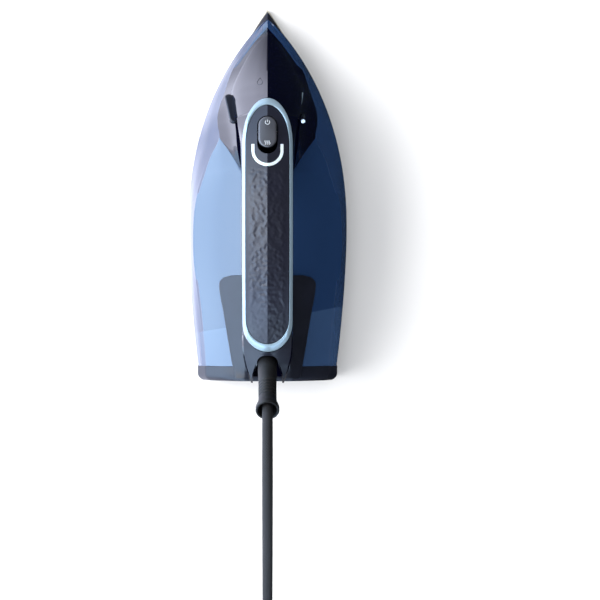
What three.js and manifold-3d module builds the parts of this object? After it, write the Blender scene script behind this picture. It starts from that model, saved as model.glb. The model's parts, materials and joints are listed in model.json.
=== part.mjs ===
// A household steam iron with a mains lead: sole, skirt, clear water tank, nose door, handle and cord guard.
// Millimetres. +Y points to the nose, +X to the iron's right, +Z up. The origin is on the ironing plane, halfway
// between the nose tip and the heel.
import * as THREE from "three";
import { mergeVertices } from "three/addons/utils/BufferGeometryUtils.js";
import Module from "manifold-3d";

const wasm = await Module();
wasm.setup();

// ---- Driving dimensions ----
const HALF_LENGTH = 154; // nose tip and heel lie this far from the origin
const TANK_HALF_WIDTH = 65;
const WIDEST_Y = -30; // where the plan outline is widest
const REAR_TAPER = 9.8; // how much narrower each side is at the heel
const GAP = 0.3; // clearance between pieces that touch

const SOLE = { tip: 154, half: 61, rear: -141, thick: 5.5 };
const SKIRT = { tip: 150.8, half: 60.2, rear: -144, low: 5.8, high: 23.7, wall: 2.4 };
const TANK = { tip: 141.5, bottom: 24, bulge: 34, rear: -145.6, wall: 2.4 };
const HEEL = { front: -146, back: -154, low: 8, screws: [-34, 34] };
const DOOR = { tip: 130, rim: 42, slope: 0.62, wall: 2.6 }; // its rim lies in one sloping plane
const HINGE = { x: 28, y: 54.5, z: 91.5, lean: Math.PI / 6, length: 11, radius: 1.6 }; // its pin leans back
const INLET = { y: 97, radius: 8.6, wall: 1.9 };
const RING = { half: 19.2, front: 68.5, rear: -128.7, frontBend: 30, rearBend: -106, thick: 3.2 };
const GRIP = { half: 16.4, front: 60.7, rear: -122.2, frontBend: 30, rearBend: -103, thick: 2.6 };
const BUTTON = { half: 6.9, front: 51, rear: 26.7, slotRear: 21.9, slotGap: 0.8, tall: 11 };
const LIGHT = { y: 24.5, outer: 12.2, inner: 9.8, legs: 29.6 };
const GUARD = { y: -132.3, z: 104.9, lift: 0.94, length: 66.8, root: 7.4, waist: 6.9, mouth: 9, ball: 9.4 };
const CORD = { radius: 4, sides: 8 };
const TRIGGER = { y: 20, z: 118, half: 7 };
const ROCKER_PIN = [39, 138];
const FORK = { half: 9.8, depth: 18, floor: 91 };

// ---- Curves of one variable: smooth through a few points, and flat past the ends ----
function through(points) {
  const sorted = [...points].sort((a, b) => a[0] - b[0]);
  const slopes = sorted.map((p, i) => {
    const before = sorted[Math.max(i - 1, 0)];
    const after = sorted[Math.min(i + 1, sorted.length - 1)];
    return (after[1] - before[1]) / (after[0] - before[0]);
  });
  return (at) => {
    if (at <= sorted[0][0]) return sorted[0][1];
    const last = sorted.length - 1;
    if (at >= sorted[last][0]) return sorted[last][1];
    const i = sorted.findIndex((p) => p[0] > at) - 1;
    const [x0, y0] = sorted[i];
    const [x1, y1] = sorted[i + 1];
    const span = x1 - x0;
    const t = (at - x0) / span;
    const ease = t * t * (3 - 2 * t);
    const rise = span * (slopes[i] * t * (1 - t) ** 2 - slopes[i + 1] * t * t * (1 - t));
    return y0 + (y1 - y0) * ease + rise;
  };
}

// ---- The iron's shape, as functions of y ----
function halfWidth(y, tip, half, sharp, full) {
  if (y > WIDEST_Y) {
    const t = Math.min((y - WIDEST_Y) / (tip - WIDEST_Y), 1);
    return half * (1 - t ** sharp) ** full;
  }
  return half - REAR_TAPER * ((WIDEST_Y - y) / (HALF_LENGTH + WIDEST_Y)) ** 1.7;
}
const soleHalf = (y) => halfWidth(y, SOLE.tip, SOLE.half, 2, 1);
const skirtHalf = (y) => halfWidth(y, SKIRT.tip, SKIRT.half, 2.05, 1);
const tankHalf = (y) => halfWidth(y, TANK.tip, TANK_HALF_WIDTH, 2.2, 0.85);

// The shoulder is the crease between the tank's side and its top, as a share of the half width and as a height.
const shoulderShare = through([
  [141.5, 0.7], [114, 0.76], [98.7, 0.815], [80, 0.79], [62.6, 0.79], [53, 0.75], [42, 0.685], [28.6, 0.763],
  [14.4, 0.826], [-4.3, 0.89], [-22, 0.92], [-56, 0.932], [-80, 0.905], [-106, 0.885], [-146, 0.88],
]);
const shoulderHalf = (y) => shoulderShare(y) * tankHalf(y);
const shoulderHeight = through([
  [141.5, 35], [128, 41], [114, 46], [98.7, 52], [80, 55], [62, 58], [42, 60], [28, 58.5], [14, 57],
  [-22, 54], [-56, 52], [-106, 50], [-146, 46],
]);
// The collar's foot on the tank, the spine of the tank behind it, and the heights of both.
const COLLAR_APEX = 42;
const COLLAR_REAR = 13;
const collarFoot = through([[42, 38.8], [30, 30.2], [17.5, 22.6], [13, 20.3], [-20, 20], [-146, 20]]);
const spineHeight = through([
  [42, 60], [30, 68], [17.5, 75.5], [13, 78.5], [0, 79], [-30, 78.5], [-60, 77.5], [-100, 74], [-146, 62],
]);
const footHalf = (y) => (y > COLLAR_APEX ? shoulderHalf(y) : collarFoot(y));
const footHeight = (y) => (y > COLLAR_APEX ? shoulderHeight(y) : spineHeight(y));

// The nose: a ridged door over a sloping rim plane, and behind it the front post of the handle.
const rimHeight = (y) => DOOR.rim + (DOOR.tip - y) * DOOR.slope;
const doorHalf = through([
  [134.5, 0.3], [130, 0.6], [121, 8], [112, 14], [96, 22.3], [80, 28.3], [72, 29], [62, 27], [53, 24],
  [30, 22.2], [17, 21], [13, 20],
]);
const ridgeHeight = through([
  [141, 33], [130, 43], [115, 62], [100, 84], [85, 105.5], [75, 118.5], [68.5, 126.8], [60, 133.8], [50, 140],
]);
const POST_SEAM = 53; // the collar's top is the rim plane ahead of this, and the post's seat behind it
const postSeat = (y) => 80 + (rimHeight(POST_SEAM) - 80) * ((y - COLLAR_REAR) / (POST_SEAM - COLLAR_REAR));
const collarTop = (y) => (y > POST_SEAM ? rimHeight(y) : postSeat(y));

// The handle: its ridge line, the roof that falls away from the ridge, and its underside.
const handleTop = through([
  [75, 121], [68.5, 127.5], [60, 134.5], [45, 144], [25, 151.5], [0, 156.5], [-25, 158], [-55, 155.5],
  [-85, 147], [-110, 134.5], [-128.7, 122], [-140, 114.5], [-154, 106.5],
]);
const roofDrop = (x) => (x < GRIP.half ? 0.3 * x : 0.3 * GRIP.half + 1.6 * (x - GRIP.half));
const roofHeight = (x, y) => handleTop(y) - roofDrop(Math.abs(x));
const handleUnder = through([
  [68, 97], [53.1, 90.2], [13, 80.5], [9, 90], [6, 104], [2, 115], [-6, 120], [-25, 122.5], [-55, 120],
  [-80, 113], [-92, 106], [-100, 95], [-104, 84],
]);
const REAR_POST_FRONT = -103;
const underside = (y) => {
  if (y < REAR_POST_FRONT) return coverTop(y) + GAP;
  if (y > COLLAR_REAR && y <= POST_SEAM) return postSeat(y) + GAP;
  return handleUnder(y);
};
const coverTop = (y) => spineHeight(y) + 6 - Math.max(0, -137 - y) * 0.2;
const handleHalf = through([
  [66, 4], [60, 11.4], [56, 13.6], [53, 18], [40, 20], [20, 19.8], [-100, 19.8], [-125, 19.6], [-140, 17.6],
  [-148, 15.4], [-153.6, 13.6],
]);

// Half width of a slot-shaped plan outline with elliptical ends.
function slotHalf(y, slot, grow = 0) {
  const half = slot.half + grow;
  const end = y > slot.frontBend ? slot.front + grow : slot.rear - grow;
  const bend = y > slot.frontBend ? slot.frontBend : slot.rearBend;
  if (y <= slot.frontBend && y >= slot.rearBend) return half;
  return half * Math.sqrt(Math.max(0, 1 - ((y - bend) / (end - bend)) ** 2));
}

// ---- Solids ----
function solid(geometry) {
  const bare = geometry.index ? geometry.toNonIndexed() : geometry.clone();
  bare.deleteAttribute("normal");
  bare.deleteAttribute("uv");
  const merged = mergeVertices(bare, 1e-4);
  const mesh = { numProp: 3, vertProperties: merged.attributes.position.array, triVerts: merged.index.array };
  return new wasm.Manifold(new wasm.Mesh(mesh));
}

function geometry(made) {
  const mesh = made.getMesh();
  const out = new THREE.BufferGeometry();
  out.setAttribute("position", new THREE.BufferAttribute(mesh.vertProperties, 3));
  out.setIndex(new THREE.BufferAttribute(mesh.triVerts, 1));
  return out;
}

// A closed body through rings of equal length. Each ring is a list of THREE.Vector3 in order round the section.
function loftRings(rings, closed = false) {
  const count = rings[0].length;
  const position = rings.flat().flatMap((p) => [p.x, p.y, p.z]);
  const index = [];
  const last = closed ? rings.length : rings.length - 1;
  for (let i = 0; i < last; i++) {
    const next = (i + 1) % rings.length;
    for (let k = 0; k < count; k++) {
      const [a, b] = [i * count + k, i * count + ((k + 1) % count)];
      const [c, d] = [next * count + k, next * count + ((k + 1) % count)];
      index.push(a, c, b, b, c, d);
    }
  }
  if (!closed) {
    const cap = THREE.ShapeUtils.triangulateShape(rings[0].map((p) => new THREE.Vector2(p.x, p.z)), []);
    for (const [a, b, c] of cap) index.push(a, b, c);
    const end = (rings.length - 1) * count;
    const endCap = THREE.ShapeUtils.triangulateShape(rings.at(-1).map((p) => new THREE.Vector2(p.x, p.z)), []);
    for (const [a, b, c] of endCap) index.push(end + a, end + c, end + b);
  }
  const out = new THREE.BufferGeometry();
  out.setAttribute("position", new THREE.Float32BufferAttribute(position, 3));
  out.setIndex(index);
  const made = new wasm.Manifold(new wasm.Mesh({
    numProp: 3, vertProperties: new Float32Array(position), triVerts: new Uint32Array(index),
  }));
  if (made.volume() < 0) out.setIndex(index.map((v, i) => index[i - (i % 3) + [0, 2, 1][i % 3]]));
  return out;
}

// A body that is the same on both sides: profile(y) gives the [x, z] points of its right half, bottom to top.
function loft(stations, profile) {
  const rings = stations.map((y) => {
    const right = profile(y);
    const left = right.slice(1, -1).reverse().map(([x, z]) => [-x, z]);
    return [...right, ...left].map(([x, z]) => new THREE.Vector3(x, y, z));
  });
  return solid(loftRings(rings));
}

function stations(from, to, count, ease = 1) {
  return Array.from({ length: count + 1 }, (_, i) => from + (to - from) * (i / count) ** ease);
}

// A plan shape, stood up between two heights.
function upright(shape, low, high, curveSegments = 8) {
  const made = new THREE.ExtrudeGeometry(shape, { depth: high - low, bevelEnabled: false, curveSegments });
  return solid(made.translate(0, 0, low));
}

// The plan outline of a half-width function between two stations, shrunk by inset.
function outline(half, front, rear, inset = 0, count = 26) {
  const ys = stations(front - inset, rear + inset, count, 1.35);
  const side = ys.map((y) => [Math.max(half(y) - inset, 0.2), y]);
  const points = [...side, ...side.reverse().map(([x, y]) => [-x, y])];
  return new THREE.Shape(points.map(([x, y]) => new THREE.Vector2(x, y)));
}

function tube(points, radius, steps, sides = 8) {
  const section = new THREE.Shape();
  for (let k = 0; k < sides; k++) {
    const angle = (2 * Math.PI * k) / sides;
    const [x, y] = [radius * Math.cos(angle), radius * Math.sin(angle)];
    if (k) section.lineTo(x, y);
    else section.moveTo(x, y);
  }
  section.closePath();
  const knots = points.map((p) => new THREE.Vector3(...p));
  const extrudePath = new THREE.CatmullRomCurve3(knots, false, "centripetal");
  return new THREE.ExtrudeGeometry(section, { steps, extrudePath, bevelEnabled: false });
}

// A rod along z about the origin; crosswise() lays one along x at a place in the yz plane.
function rod(radius, length, sides = 16) {
  return new THREE.CylinderGeometry(radius, radius, length, sides).rotateX(Math.PI / 2);
}

const crosswise = (radius, length, y, z, sides = 12) =>
  rod(radius, length, sides).rotateY(Math.PI / 2).translate(0, y, z);

// An upright round post or hole.
function post(x, y, radius, low, high, sides = 20) {
  return solid(rod(radius, high - low, sides).translate(x, y, (low + high) / 2));
}

// A body turned about z, from the closed outline of [radius, z] points.
function lathe(points, sides) {
  const closed = [...points, points[0]].map(([r, z]) => new THREE.Vector2(r, z));
  return new THREE.LatheGeometry(closed, sides).rotateX(Math.PI / 2);
}

const box = (x, y, z) => new THREE.BoxGeometry(x, y, z);

// ---- Materials ----
function material(color, roughness, metalness = 0, opacity = 1) {
  return new THREE.MeshStandardMaterial({ color, roughness, metalness, opacity, transparent: opacity < 1 });
}
const MATERIALS = {
  sole: material("#8f9cab", 0.25, 0.9),
  aluminium: material("#b9bcc0", 0.5, 0.9),
  steel: material("#c8c9cb", 0.3, 1),
  brass: material("#c9a24b", 0.3, 1),
  skirt: material("#22242b", 0.45),
  tank: material("#2f5f9c", 0.08, 0, 0.5),
  navy: material("#14163a", 0.12),
  cover: material("#2b2d3c", 0.4),
  ring: material("#a7c6dd", 0.25, 0.6),
  grip: material("#2b2b38", 0.7),
  button: material("#45474f", 0.5),
  light: material("#f4f6fb", 0.4),
  rubber: material("#26272a", 0.65),
  braid: material("#2a2b2f", 0.9),
  board: material("#1f5a38", 0.5),
  white: material("#d9dce0", 0.5),
};

const iron = new THREE.Group();
function add(name, made, finish, parent = iron) {
  const mesh = new THREE.Mesh(made.isBufferGeometry ? made : geometry(made), MATERIALS[finish]);
  mesh.name = name;
  parent.add(mesh);
  return mesh;
}

// ---- Sole and heater ----
const VENT_RADIUS = 1.8;
const VENT_ROWS = [112, 84, 62, 40, 18, -4, -30, -60];
const MIDDLE_VENTS = [128, 98];
function soleplate() {
  const vent = (x, y) => post(x, y, VENT_RADIUS, -1, SOLE.thick + 1, 8);
  const vents = MIDDLE_VENTS.map((y) => vent(0, y));
  for (const y of VENT_ROWS) {
    const x = soleHalf(y) * 0.62;
    vents.push(vent(x, y), vent(-x, y));
  }
  const plate = upright(outline(soleHalf, SOLE.tip, SOLE.rear), 0, SOLE.thick);
  return vents.reduce((left, hole) => left.subtract(hole), plate);
}

const ELEMENT_PATH = [
  [26, -128, 13], [34, -100, 13], [38, -40, 13], [34, 20, 13], [20, 75, 13], [0, 100, 13],
  [-20, 75, 13], [-34, 20, 13], [-38, -40, 13], [-34, -100, 13], [-26, -128, 13],
];
function casting() {
  const body = upright(outline(soleHalf, 138, -136, 6), SOLE.thick + GAP, 17);
  const chamber = upright(outline((y) => soleHalf(y) * 0.42, 80, -100, 0, 14), 9, 20);
  return body.subtract(solid(tube(ELEMENT_PATH, 4.6, 26))).subtract(chamber);
}

add("soleplate", soleplate(), "sole");
add("heater_casting", casting(), "aluminium");
add("heating_element", tube(ELEMENT_PATH, 4, 26), "steel");
const chamberLid = outline((y) => soleHalf(y) * 0.42 + 3, 84, -104, 0, 14);
add("steam_chamber_cover", upright(chamberLid, 17 + GAP, 19), "aluminium");
add("temperature_sensor", post(0, 92, 5, 17 + GAP, 20.5, 12), "steel");
add("thermal_fuse", crosswise(1.6, 16, -112, 19), "steel");

// ---- Skirt and tank ----
const VALVE_Y = 60;
const DIP = { y: 40, radius: 2.4 }; // the suction tube from the tank up to the pump
function skirt() {
  const outer = upright(outline(skirtHalf, SKIRT.tip, SKIRT.rear), SKIRT.low, SKIRT.high);
  const inner = upright(outline(skirtHalf, SKIRT.tip - 7, SKIRT.rear, SKIRT.wall), SKIRT.low - 1, 21.3);
  const port = post(0, VALVE_Y, 8, 20, 25);
  return outer.subtract(inner).subtract(port);
}

// The tank's section, or that of its inside when inset is its wall.
function tankProfile(y, inset = 0) {
  const half = Math.max(tankHalf(y) - inset, 0.25);
  const shoulder = Math.min(Math.max(shoulderHalf(y) - inset, 0.2), half - 0.02);
  const foot = Math.min(Math.max(footHalf(y) - inset * 0.6, 0.15), shoulder - 0.02);
  const low = TANK.bottom - (inset ? 3 : 0);
  const [edge, top] = [shoulderHeight(y) - inset, footHeight(y) - inset];
  const crown = edge + (top - edge) * 0.62;
  const middle = shoulder + (foot - shoulder) * 0.5;
  return [
    [0, low], [Math.max(half - 1.6, 0.2), low], [half, TANK.bulge], [shoulder, edge],
    [middle, crown], [foot, top], [0, top],
  ];
}

const TANK_STATIONS = [
  141.4, 140, 137, 131, 122, 111, 98.7, 86, 74, 62.6, 51, 42.2, 41.8, 35, 28.6, 21, 14.4, 8, -4.3, -22, -45, -68,
  -88, -106, -126, TANK.rear,
];

function tankShell() {
  const outer = loft(TANK_STATIONS, (y) => tankProfile(y));
  const insideStations = TANK_STATIONS.filter((y) => y < 137 && y > -142).concat(-142);
  const inner = loft(insideStations, (y) => tankProfile(y, TANK.wall));
  const inlet = post(0, INLET.y, INLET.radius, 40, 70);
  return outer.subtract(inner).subtract(inlet).subtract(post(0, DIP.y, DIP.radius + GAP, 40, 80, 12));
}

const innerFloor = (y) => tankHalf(y) - 2.2 - TANK.wall - GAP;
add("skirt", skirt(), "skirt");
add("tank_shell", tankShell(), "tank");
const valveHole = post(0, VALVE_Y, 3.8, 20, 30);
add("tank_floor", upright(outline(innerFloor, 130, -141), 24.4, 26.4).subtract(valveHole), "white");
add("dosing_valve", post(0, VALVE_Y, 3.5, 19 + GAP, 34), "brass");

// ---- Collar and nose door ----
function collar() {
  const profile = (y) => {
    const foot = footHalf(y);
    const low = footHeight(y) + GAP;
    const top = Math.max(collarTop(y) - GAP, low + 0.6);
    const brow = Math.min(doorHalf(y), foot - 0.1);
    const flare = y < 75 ? 0.42 : 0.5;
    const waist = [brow + (foot - brow) * flare, low + (top - low) * 0.5];
    return [[0, low], [foot, low], waist, [brow, top], [0, top]];
  };
  const ys = [134.4, 130, 126, 118, 108, 98.7, 89, 80, 71, 62.6, 53.1, 52.9, 46, 42.2, 41.8, 36, 28.6, 21, 15, 13];
  const inlet = post(0, INLET.y, INLET.radius, 40, 90);
  return loft(ys, profile).subtract(inlet).subtract(post(0, DIP.y, DIP.radius + GAP, 50, 100, 12));
}

// The roof of the door: a ridge, and flanks that steepen towards the rim.
function doorProfile(y, inset = 0) {
  const half = Math.max(doorHalf(y) - inset, 0.2);
  const rim = rimHeight(y) - (inset ? 4 : 0);
  const ridge = Math.max(ridgeHeight(y) - inset * 1.5, rim + 0.5);
  const rise = ridge - rimHeight(y);
  const roof = [[1, 0.02], [0.93, 0.2], [0.7, 0.5], [0.36, 0.8], [0.12, 0.945]];
  return [[0, rim], [half, rim], ...roof.map(([x, z]) => [half * x, rimHeight(y) + rise * z]), [0, ridge]];
}

// The plan of what stands behind the door: the ring's front, and the seams that run from it to the collar.
function behindDoor(grow) {
  const ys = stations(RING.front + grow, 56, 8, 1.2);
  const side = ys.map((y) => [slotHalf(y, RING, grow), y]);
  side.push([24.6, 52.6 + grow], [40, 52.6 + grow], [40, 20]);
  const points = [...side, ...side.reverse().map(([x, y]) => [-x, y])];
  return new THREE.Shape(points.map(([x, y]) => new THREE.Vector2(x, y)));
}

function fillingDoor() {
  const ys = [130, 127, 123, 118, 112, 105, 98, 91, 84, 77, 70, 63, 57, 50];
  const outer = loft(ys, (y) => doorProfile(y));
  const inner = loft(ys.filter((y) => y < 125), (y) => doorProfile(y, DOOR.wall));
  return outer.subtract(inner).subtract(upright(behindDoor(0.5), 40, 160));
}

// A frame that lies in the rim plane: its own y runs down the slope towards the nose.
function onRim(x, y, lift) {
  const group = new THREE.Group();
  group.position.set(x, y, rimHeight(y) + lift);
  group.rotation.x = -Math.atan(DOOR.slope);
  iron.add(group);
  return group;
}

function stadium(half, length) {
  const straight = length / 2 - half;
  return new THREE.Shape()
    .absarc(0, straight, half, 0, Math.PI)
    .absarc(0, -straight, half, Math.PI, 2 * Math.PI);
}

add("collar", collar(), "navy");
add("filling_door", fillingDoor(), "navy");
const tabFrame = onRim(-30.4, 62, 0.6);
const tab = new THREE.ExtrudeGeometry(stadium(2.5, 27), { depth: 4.6, bevelEnabled: false, curveSegments: 6 });
add("door_tab", tab.rotateZ(0.19), "cover", tabFrame);
const hingePin = rod(HINGE.radius, HINGE.length, 12).rotateX(HINGE.lean).translate(HINGE.x, HINGE.y, HINGE.z);
add("door_hinge_pin", hingePin, "steel");
const [neckOuter, neckInner] = [INLET.radius - GAP, INLET.radius - GAP - INLET.wall];
const neck = lathe([[neckInner, 51], [neckOuter, 51], [neckOuter, 66], [neckInner, 66]], 20);
add("inlet_neck", neck.translate(0, INLET.y, 0), "white");

// ---- Handle ----
function handleBody() {
  const profile = (y) => {
    const seat = slotHalf(y, RING);
    const half = handleHalf(y);
    const edge = Math.min(Math.max(seat - 0.4, 0.6), half - 0.1);
    const sunk = y < RING.rear - 0.5 ? 0 : RING.thick + 0.5;
    const top = roofHeight(0, y) - sunk;
    const brow = roofHeight(edge, y) - sunk;
    const under = Math.min(underside(y), brow - 12);
    const round = Math.min(8, (brow - under) * 0.3);
    const open = y < 4 && y > -96 ? 1 : 0.25;
    return [
      [0, under], [half - round * open, under], [half - 1.2 * open, under + round], [half, brow - 9],
      [edge, brow], [edge * 0.5, (top + brow) / 2], [0, top],
    ];
  };
  const ys = [
    66.4, 63, 58, 53, 46, 38, 30, 22, 16, 12.6, 10.5, 8, 5.5, 2, -4, -12, -25, -40, -55, -70, -80, -88, -94, -99,
    -103, -107, -114, -122, -129, -129.4, -136, -142, -147, -150.6, -153.6,
  ];
  const channel = loft(stations(56, -112, 12), (y) => [
    [0, roofHeight(0, y) - 21], [11, roofHeight(0, y) - 21], [13, roofHeight(0, y) - 16],
    [13, roofHeight(0, y) + 5], [0, roofHeight(0, y) + 5],
  ]);
  const chamber = solid(box(24, 30, 44).translate(0, 40, 108));
  return loft(ys, profile).subtract(channel).subtract(chamber).subtract(forkCut()).subtract(underFork())
    .subtract(triggerSlot()).subtract(post(0, DIP.y, DIP.radius + GAP, 70, 100, 12));
}

// The arch between the two prongs, the guard's ball seat and trunnion holes, and the sweep of its sleeve.
const GUARD_SWING = [-0.6, -0.4, -0.2, 0, 0.11];
function forkCut() {
  const arch = new THREE.Shape();
  arch.moveTo(FORK.half, -160);
  arch.lineTo(FORK.half, -152.5);
  arch.absellipse(0, -152.5, FORK.half, FORK.depth, 0, Math.PI);
  arch.lineTo(-FORK.half, -160);
  const seat = solid(new THREE.SphereGeometry(GUARD.ball + 0.7, 14, 8).translate(0, GUARD.y, GUARD.z));
  const trunnions = solid(crosswise(3.3, 26, GUARD.y, GUARD.z));
  const sleeve = () => rod(GUARD.root + 0.8, 60).translate(0, 0, 30);
  const sweeps = GUARD_SWING.map((turn) => solid(alongGuard(sleeve(), turn)));
  return sweeps.reduce((cut, sweep) => cut.add(sweep), upright(arch, FORK.floor, 150).add(seat).add(trunnions));
}

// Puts a shape whose z runs out of the guard's pivot onto the guard's axis.
function alongGuard(made, turn = 0) {
  return made.rotateX(Math.PI / 2 - GUARD.lift - turn).translate(0, GUARD.y, GUARD.z);
}

// What is cut away below the prongs, so that the post's back falls plumb to the heel.
function underFork() {
  const side = new THREE.Shape();
  side.moveTo(-146.4, 40);
  side.lineTo(-146.4, 86);
  side.lineTo(-149, 91);
  side.lineTo(-170, 91);
  side.lineTo(-170, 40);
  const made = new THREE.ExtrudeGeometry(side, { depth: 80, bevelEnabled: false });
  return solid(made.rotateX(Math.PI / 2).rotateZ(Math.PI / 2).translate(-40, 0, 0));
}

// Plan points in order round a slot: front bend, left side, rear bend, right side.
function slotLoop({ half, front, rear, frontBend, rearBend }) {
  const [bendSteps, sideSteps] = [18, 10];
  const bend = (middle, end, start) => (_, i) => {
    const angle = start + (Math.PI * i) / bendSteps;
    return [half * Math.cos(angle), middle + Math.abs(Math.sin(angle)) * (end - middle)];
  };
  const side = (x, from, to) => (_, i) => [x, from + (to - from) * ((i + 1) / sideSteps)];
  return [
    ...Array.from({ length: bendSteps + 1 }, bend(frontBend, front, 0)),
    ...Array.from({ length: sideSteps - 1 }, side(-half, frontBend, rearBend)),
    ...Array.from({ length: bendSteps + 1 }, bend(rearBend, rear, Math.PI)),
    ...Array.from({ length: sideSteps - 1 }, side(half, rearBend, frontBend)),
  ];
}

// The ring follows the roof between the grip and its own outer edge.
function ring() {
  const around = slotLoop({ ...GRIP, half: GRIP.half + GAP, front: GRIP.front + GAP, rear: GRIP.rear - GAP });
  const rings = slotLoop(RING).map(([x, y], i) => {
    const [innerX, innerY] = around[i];
    const [outer, inner] = [roofHeight(x, y), roofHeight(innerX, innerY)];
    return [
      new THREE.Vector3(innerX, innerY, inner), new THREE.Vector3(x, y, outer),
      new THREE.Vector3(x, y, outer - RING.thick), new THREE.Vector3(innerX, innerY, inner - RING.thick),
    ];
  });
  return solid(loftRings(rings, true));
}

// A slab of the roof between two depths, as wide as the slot given.
function roofSlab(slot, rise, depth, ys) {
  return loft(ys, (y) => {
    const half = Math.max(slotHalf(y, slot), 0.3);
    const at = (x, down) => [x, roofHeight(x, y) - down];
    return [at(0, depth), at(half, depth), at(half, -rise), at(half * 0.5, -rise), at(0, -rise)];
  });
}
const GRIP_STATIONS = [
  60.4, 59.6, 58, 55, 50, 44, 37, 30, 22, 12, 0, -15, -30, -45, -60, -75, -90, -103, -110, -115.5, -119, -121.2,
  -122,
];

function lightShape(grow) {
  const [outer, inner] = [LIGHT.outer + grow, LIGHT.inner - grow];
  return new THREE.Shape()
    .moveTo(outer, LIGHT.legs + grow)
    .lineTo(inner, LIGHT.legs + grow)
    .absarc(0, LIGHT.y, inner, 0, -Math.PI, true)
    .lineTo(-inner, LIGHT.legs + grow)
    .lineTo(-outer, LIGHT.legs + grow)
    .absarc(0, LIGHT.y, outer, Math.PI, 2 * Math.PI);
}

function slotShape(half, front, rear) {
  return new THREE.Shape()
    .absarc(0, front - half, half, 0, Math.PI)
    .absarc(0, rear + half, half, Math.PI, 2 * Math.PI);
}

function grip() {
  const slab = roofSlab(GRIP, 0, GRIP.thick, GRIP_STATIONS);
  const buttonSlot = slotShape(BUTTON.half + BUTTON.slotGap, BUTTON.front + BUTTON.slotGap, BUTTON.slotRear);
  return slab.subtract(upright(buttonSlot, 130, 170)).subtract(upright(lightShape(GAP), 130, 170));
}

function statusLight() {
  const slab = roofSlab({ ...GRIP, front: 70, frontBend: 45 }, 0.15, GRIP.thick, stations(34, 8, 8));
  return slab.intersect(upright(lightShape(0), 130, 170));
}

// The rocker's crown is level with the ridge at its front and stands proud at its rear.
function rocker() {
  const crown = loft(stations(BUTTON.front + 1, BUTTON.rear - 1, 8), (y) => {
    const level = roofHeight(0, y) + 1.6 + (BUTTON.front - y) * 0.03;
    const floor = roofHeight(0, y) - BUTTON.tall;
    return [[0, floor], [10, floor], [10, level - 1.1], [4, level - 0.5], [0, level - 0.4]];
  });
  const plan = upright(slotShape(BUTTON.half, BUTTON.front, BUTTON.rear), 120, 170);
  return crown.intersect(plan).subtract(solid(crosswise(1.5, 30, ...ROCKER_PIN)));
}

add("handle_body", handleBody(), "navy");
add("handle_ring", ring(), "ring");
add("grip_pad", grip(), "grip");
add("status_light", statusLight(), "light");
add("mode_rocker", rocker(), "button");
add("rocker_pin", crosswise(1.2, 22, ...ROCKER_PIN), "steel");
const boardTilt = Math.atan2(handleTop(-5) - handleTop(-65), 60);
add("control_board", box(22, 70, 1.6).rotateX(boardTilt).translate(0, -35, handleTop(-35) - 15.5), "board");

add("terminal_block", box(18, 10, 8).translate(0, -88, handleTop(-88) - 14), "white");
add("cord_clamp", box(20, 6, 9).translate(0, -106, handleTop(-106) - 12.5), "white");
add("steam_pump", post(0, DIP.y, 7.5, 92, 116), "white");
add("suction_tube", post(0, DIP.y, DIP.radius, 28, 92 - GAP, 12), "white");

// ---- Steam trigger, under the front of the handle ----
function triggerShape(grow) {
  const side = new THREE.Shape();
  side.moveTo(24 + grow, 113 - grow);
  side.quadraticCurveTo(13, 101 - grow, 2, 108 - grow);
  side.quadraticCurveTo(-6, 111 - grow, -12 - grow, 116 - grow);
  side.lineTo(-12 - grow, 124 + grow);
  side.lineTo(24 + grow, 124 + grow);
  return side;
}

// A side view, its x being the iron's y, made as thick as twice half.
function sideways(shape, half) {
  const made = new THREE.ExtrudeGeometry(shape, { depth: 2 * half, bevelEnabled: false, curveSegments: 6 });
  return made.rotateX(Math.PI / 2).rotateZ(Math.PI / 2).translate(-half, 0, 0);
}

function triggerSlot() {
  const upper = solid(box(2 * TRIGGER.half + 2, 44, 14).translate(0, 6, 128));
  return solid(sideways(triggerShape(1.2), TRIGGER.half + 1)).add(upper);
}

function steamTrigger() {
  const pinHole = solid(crosswise(1.7, 30, TRIGGER.y, TRIGGER.z));
  return solid(sideways(triggerShape(0), TRIGGER.half)).subtract(pinHole);
}

add("steam_trigger", steamTrigger(), "button");
add("trigger_pin", crosswise(1.4, 2 * TRIGGER.half + 1.4, TRIGGER.y, TRIGGER.z), "steel");

// ---- Rear cover and heel ----
function tankTopHeight(x, y) {
  const [, , , [shoulder, edge], [middle, crown], [foot, top]] = tankProfile(Math.max(y, TANK.rear));
  if (x <= foot) return top;
  if (x <= middle) return top + (crown - top) * ((x - foot) / (middle - foot));
  return crown + (edge - crown) * ((x - middle) / (shoulder - middle));
}
const coverHalf = through([[-69, 29], [-70.5, 35], [-76, 38.7], [-100, 35], [-137, 29], [-151.5, 26]]);

function rearCover() {
  const floor = (x, y) => tankTopHeight(x, y) + 0.8;
  return loft([-69, -69.6, -70.5, -73, -76, -88, -100, -112, -124, -137, -144, -148, -151.5], (y) => {
    const half = coverHalf(y);
    const middle = 20 + (half - 20) * 0.55;
    return [
      [0, floor(0, y)], [20, floor(20, y)], [middle, floor(middle, y)], [half, floor(half, y)],
      [half, floor(half, y) + 1.6], [half - 2.4, floor(half, y) + 3.4], [middle, coverTop(y) - 3],
      [18, coverTop(y)], [0, coverTop(y)],
    ];
  });
}

function heelProfile(y, inset = 0) {
  const behind = Math.max(0, (HEEL.front - y) / (HEEL.front - HEEL.back));
  const half = tankHalf(TANK.rear) - 6 * behind ** 3 - inset;
  const share = half / tankHalf(TANK.rear);
  const low = HEEL.low + inset;
  return [
    [0, low], [half - 2, low], [half, 20], [half, TANK.bulge],
    ...tankProfile(TANK.rear, inset).slice(3).map(([x, z]) => [x * share, z - GAP]),
  ];
}

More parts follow.
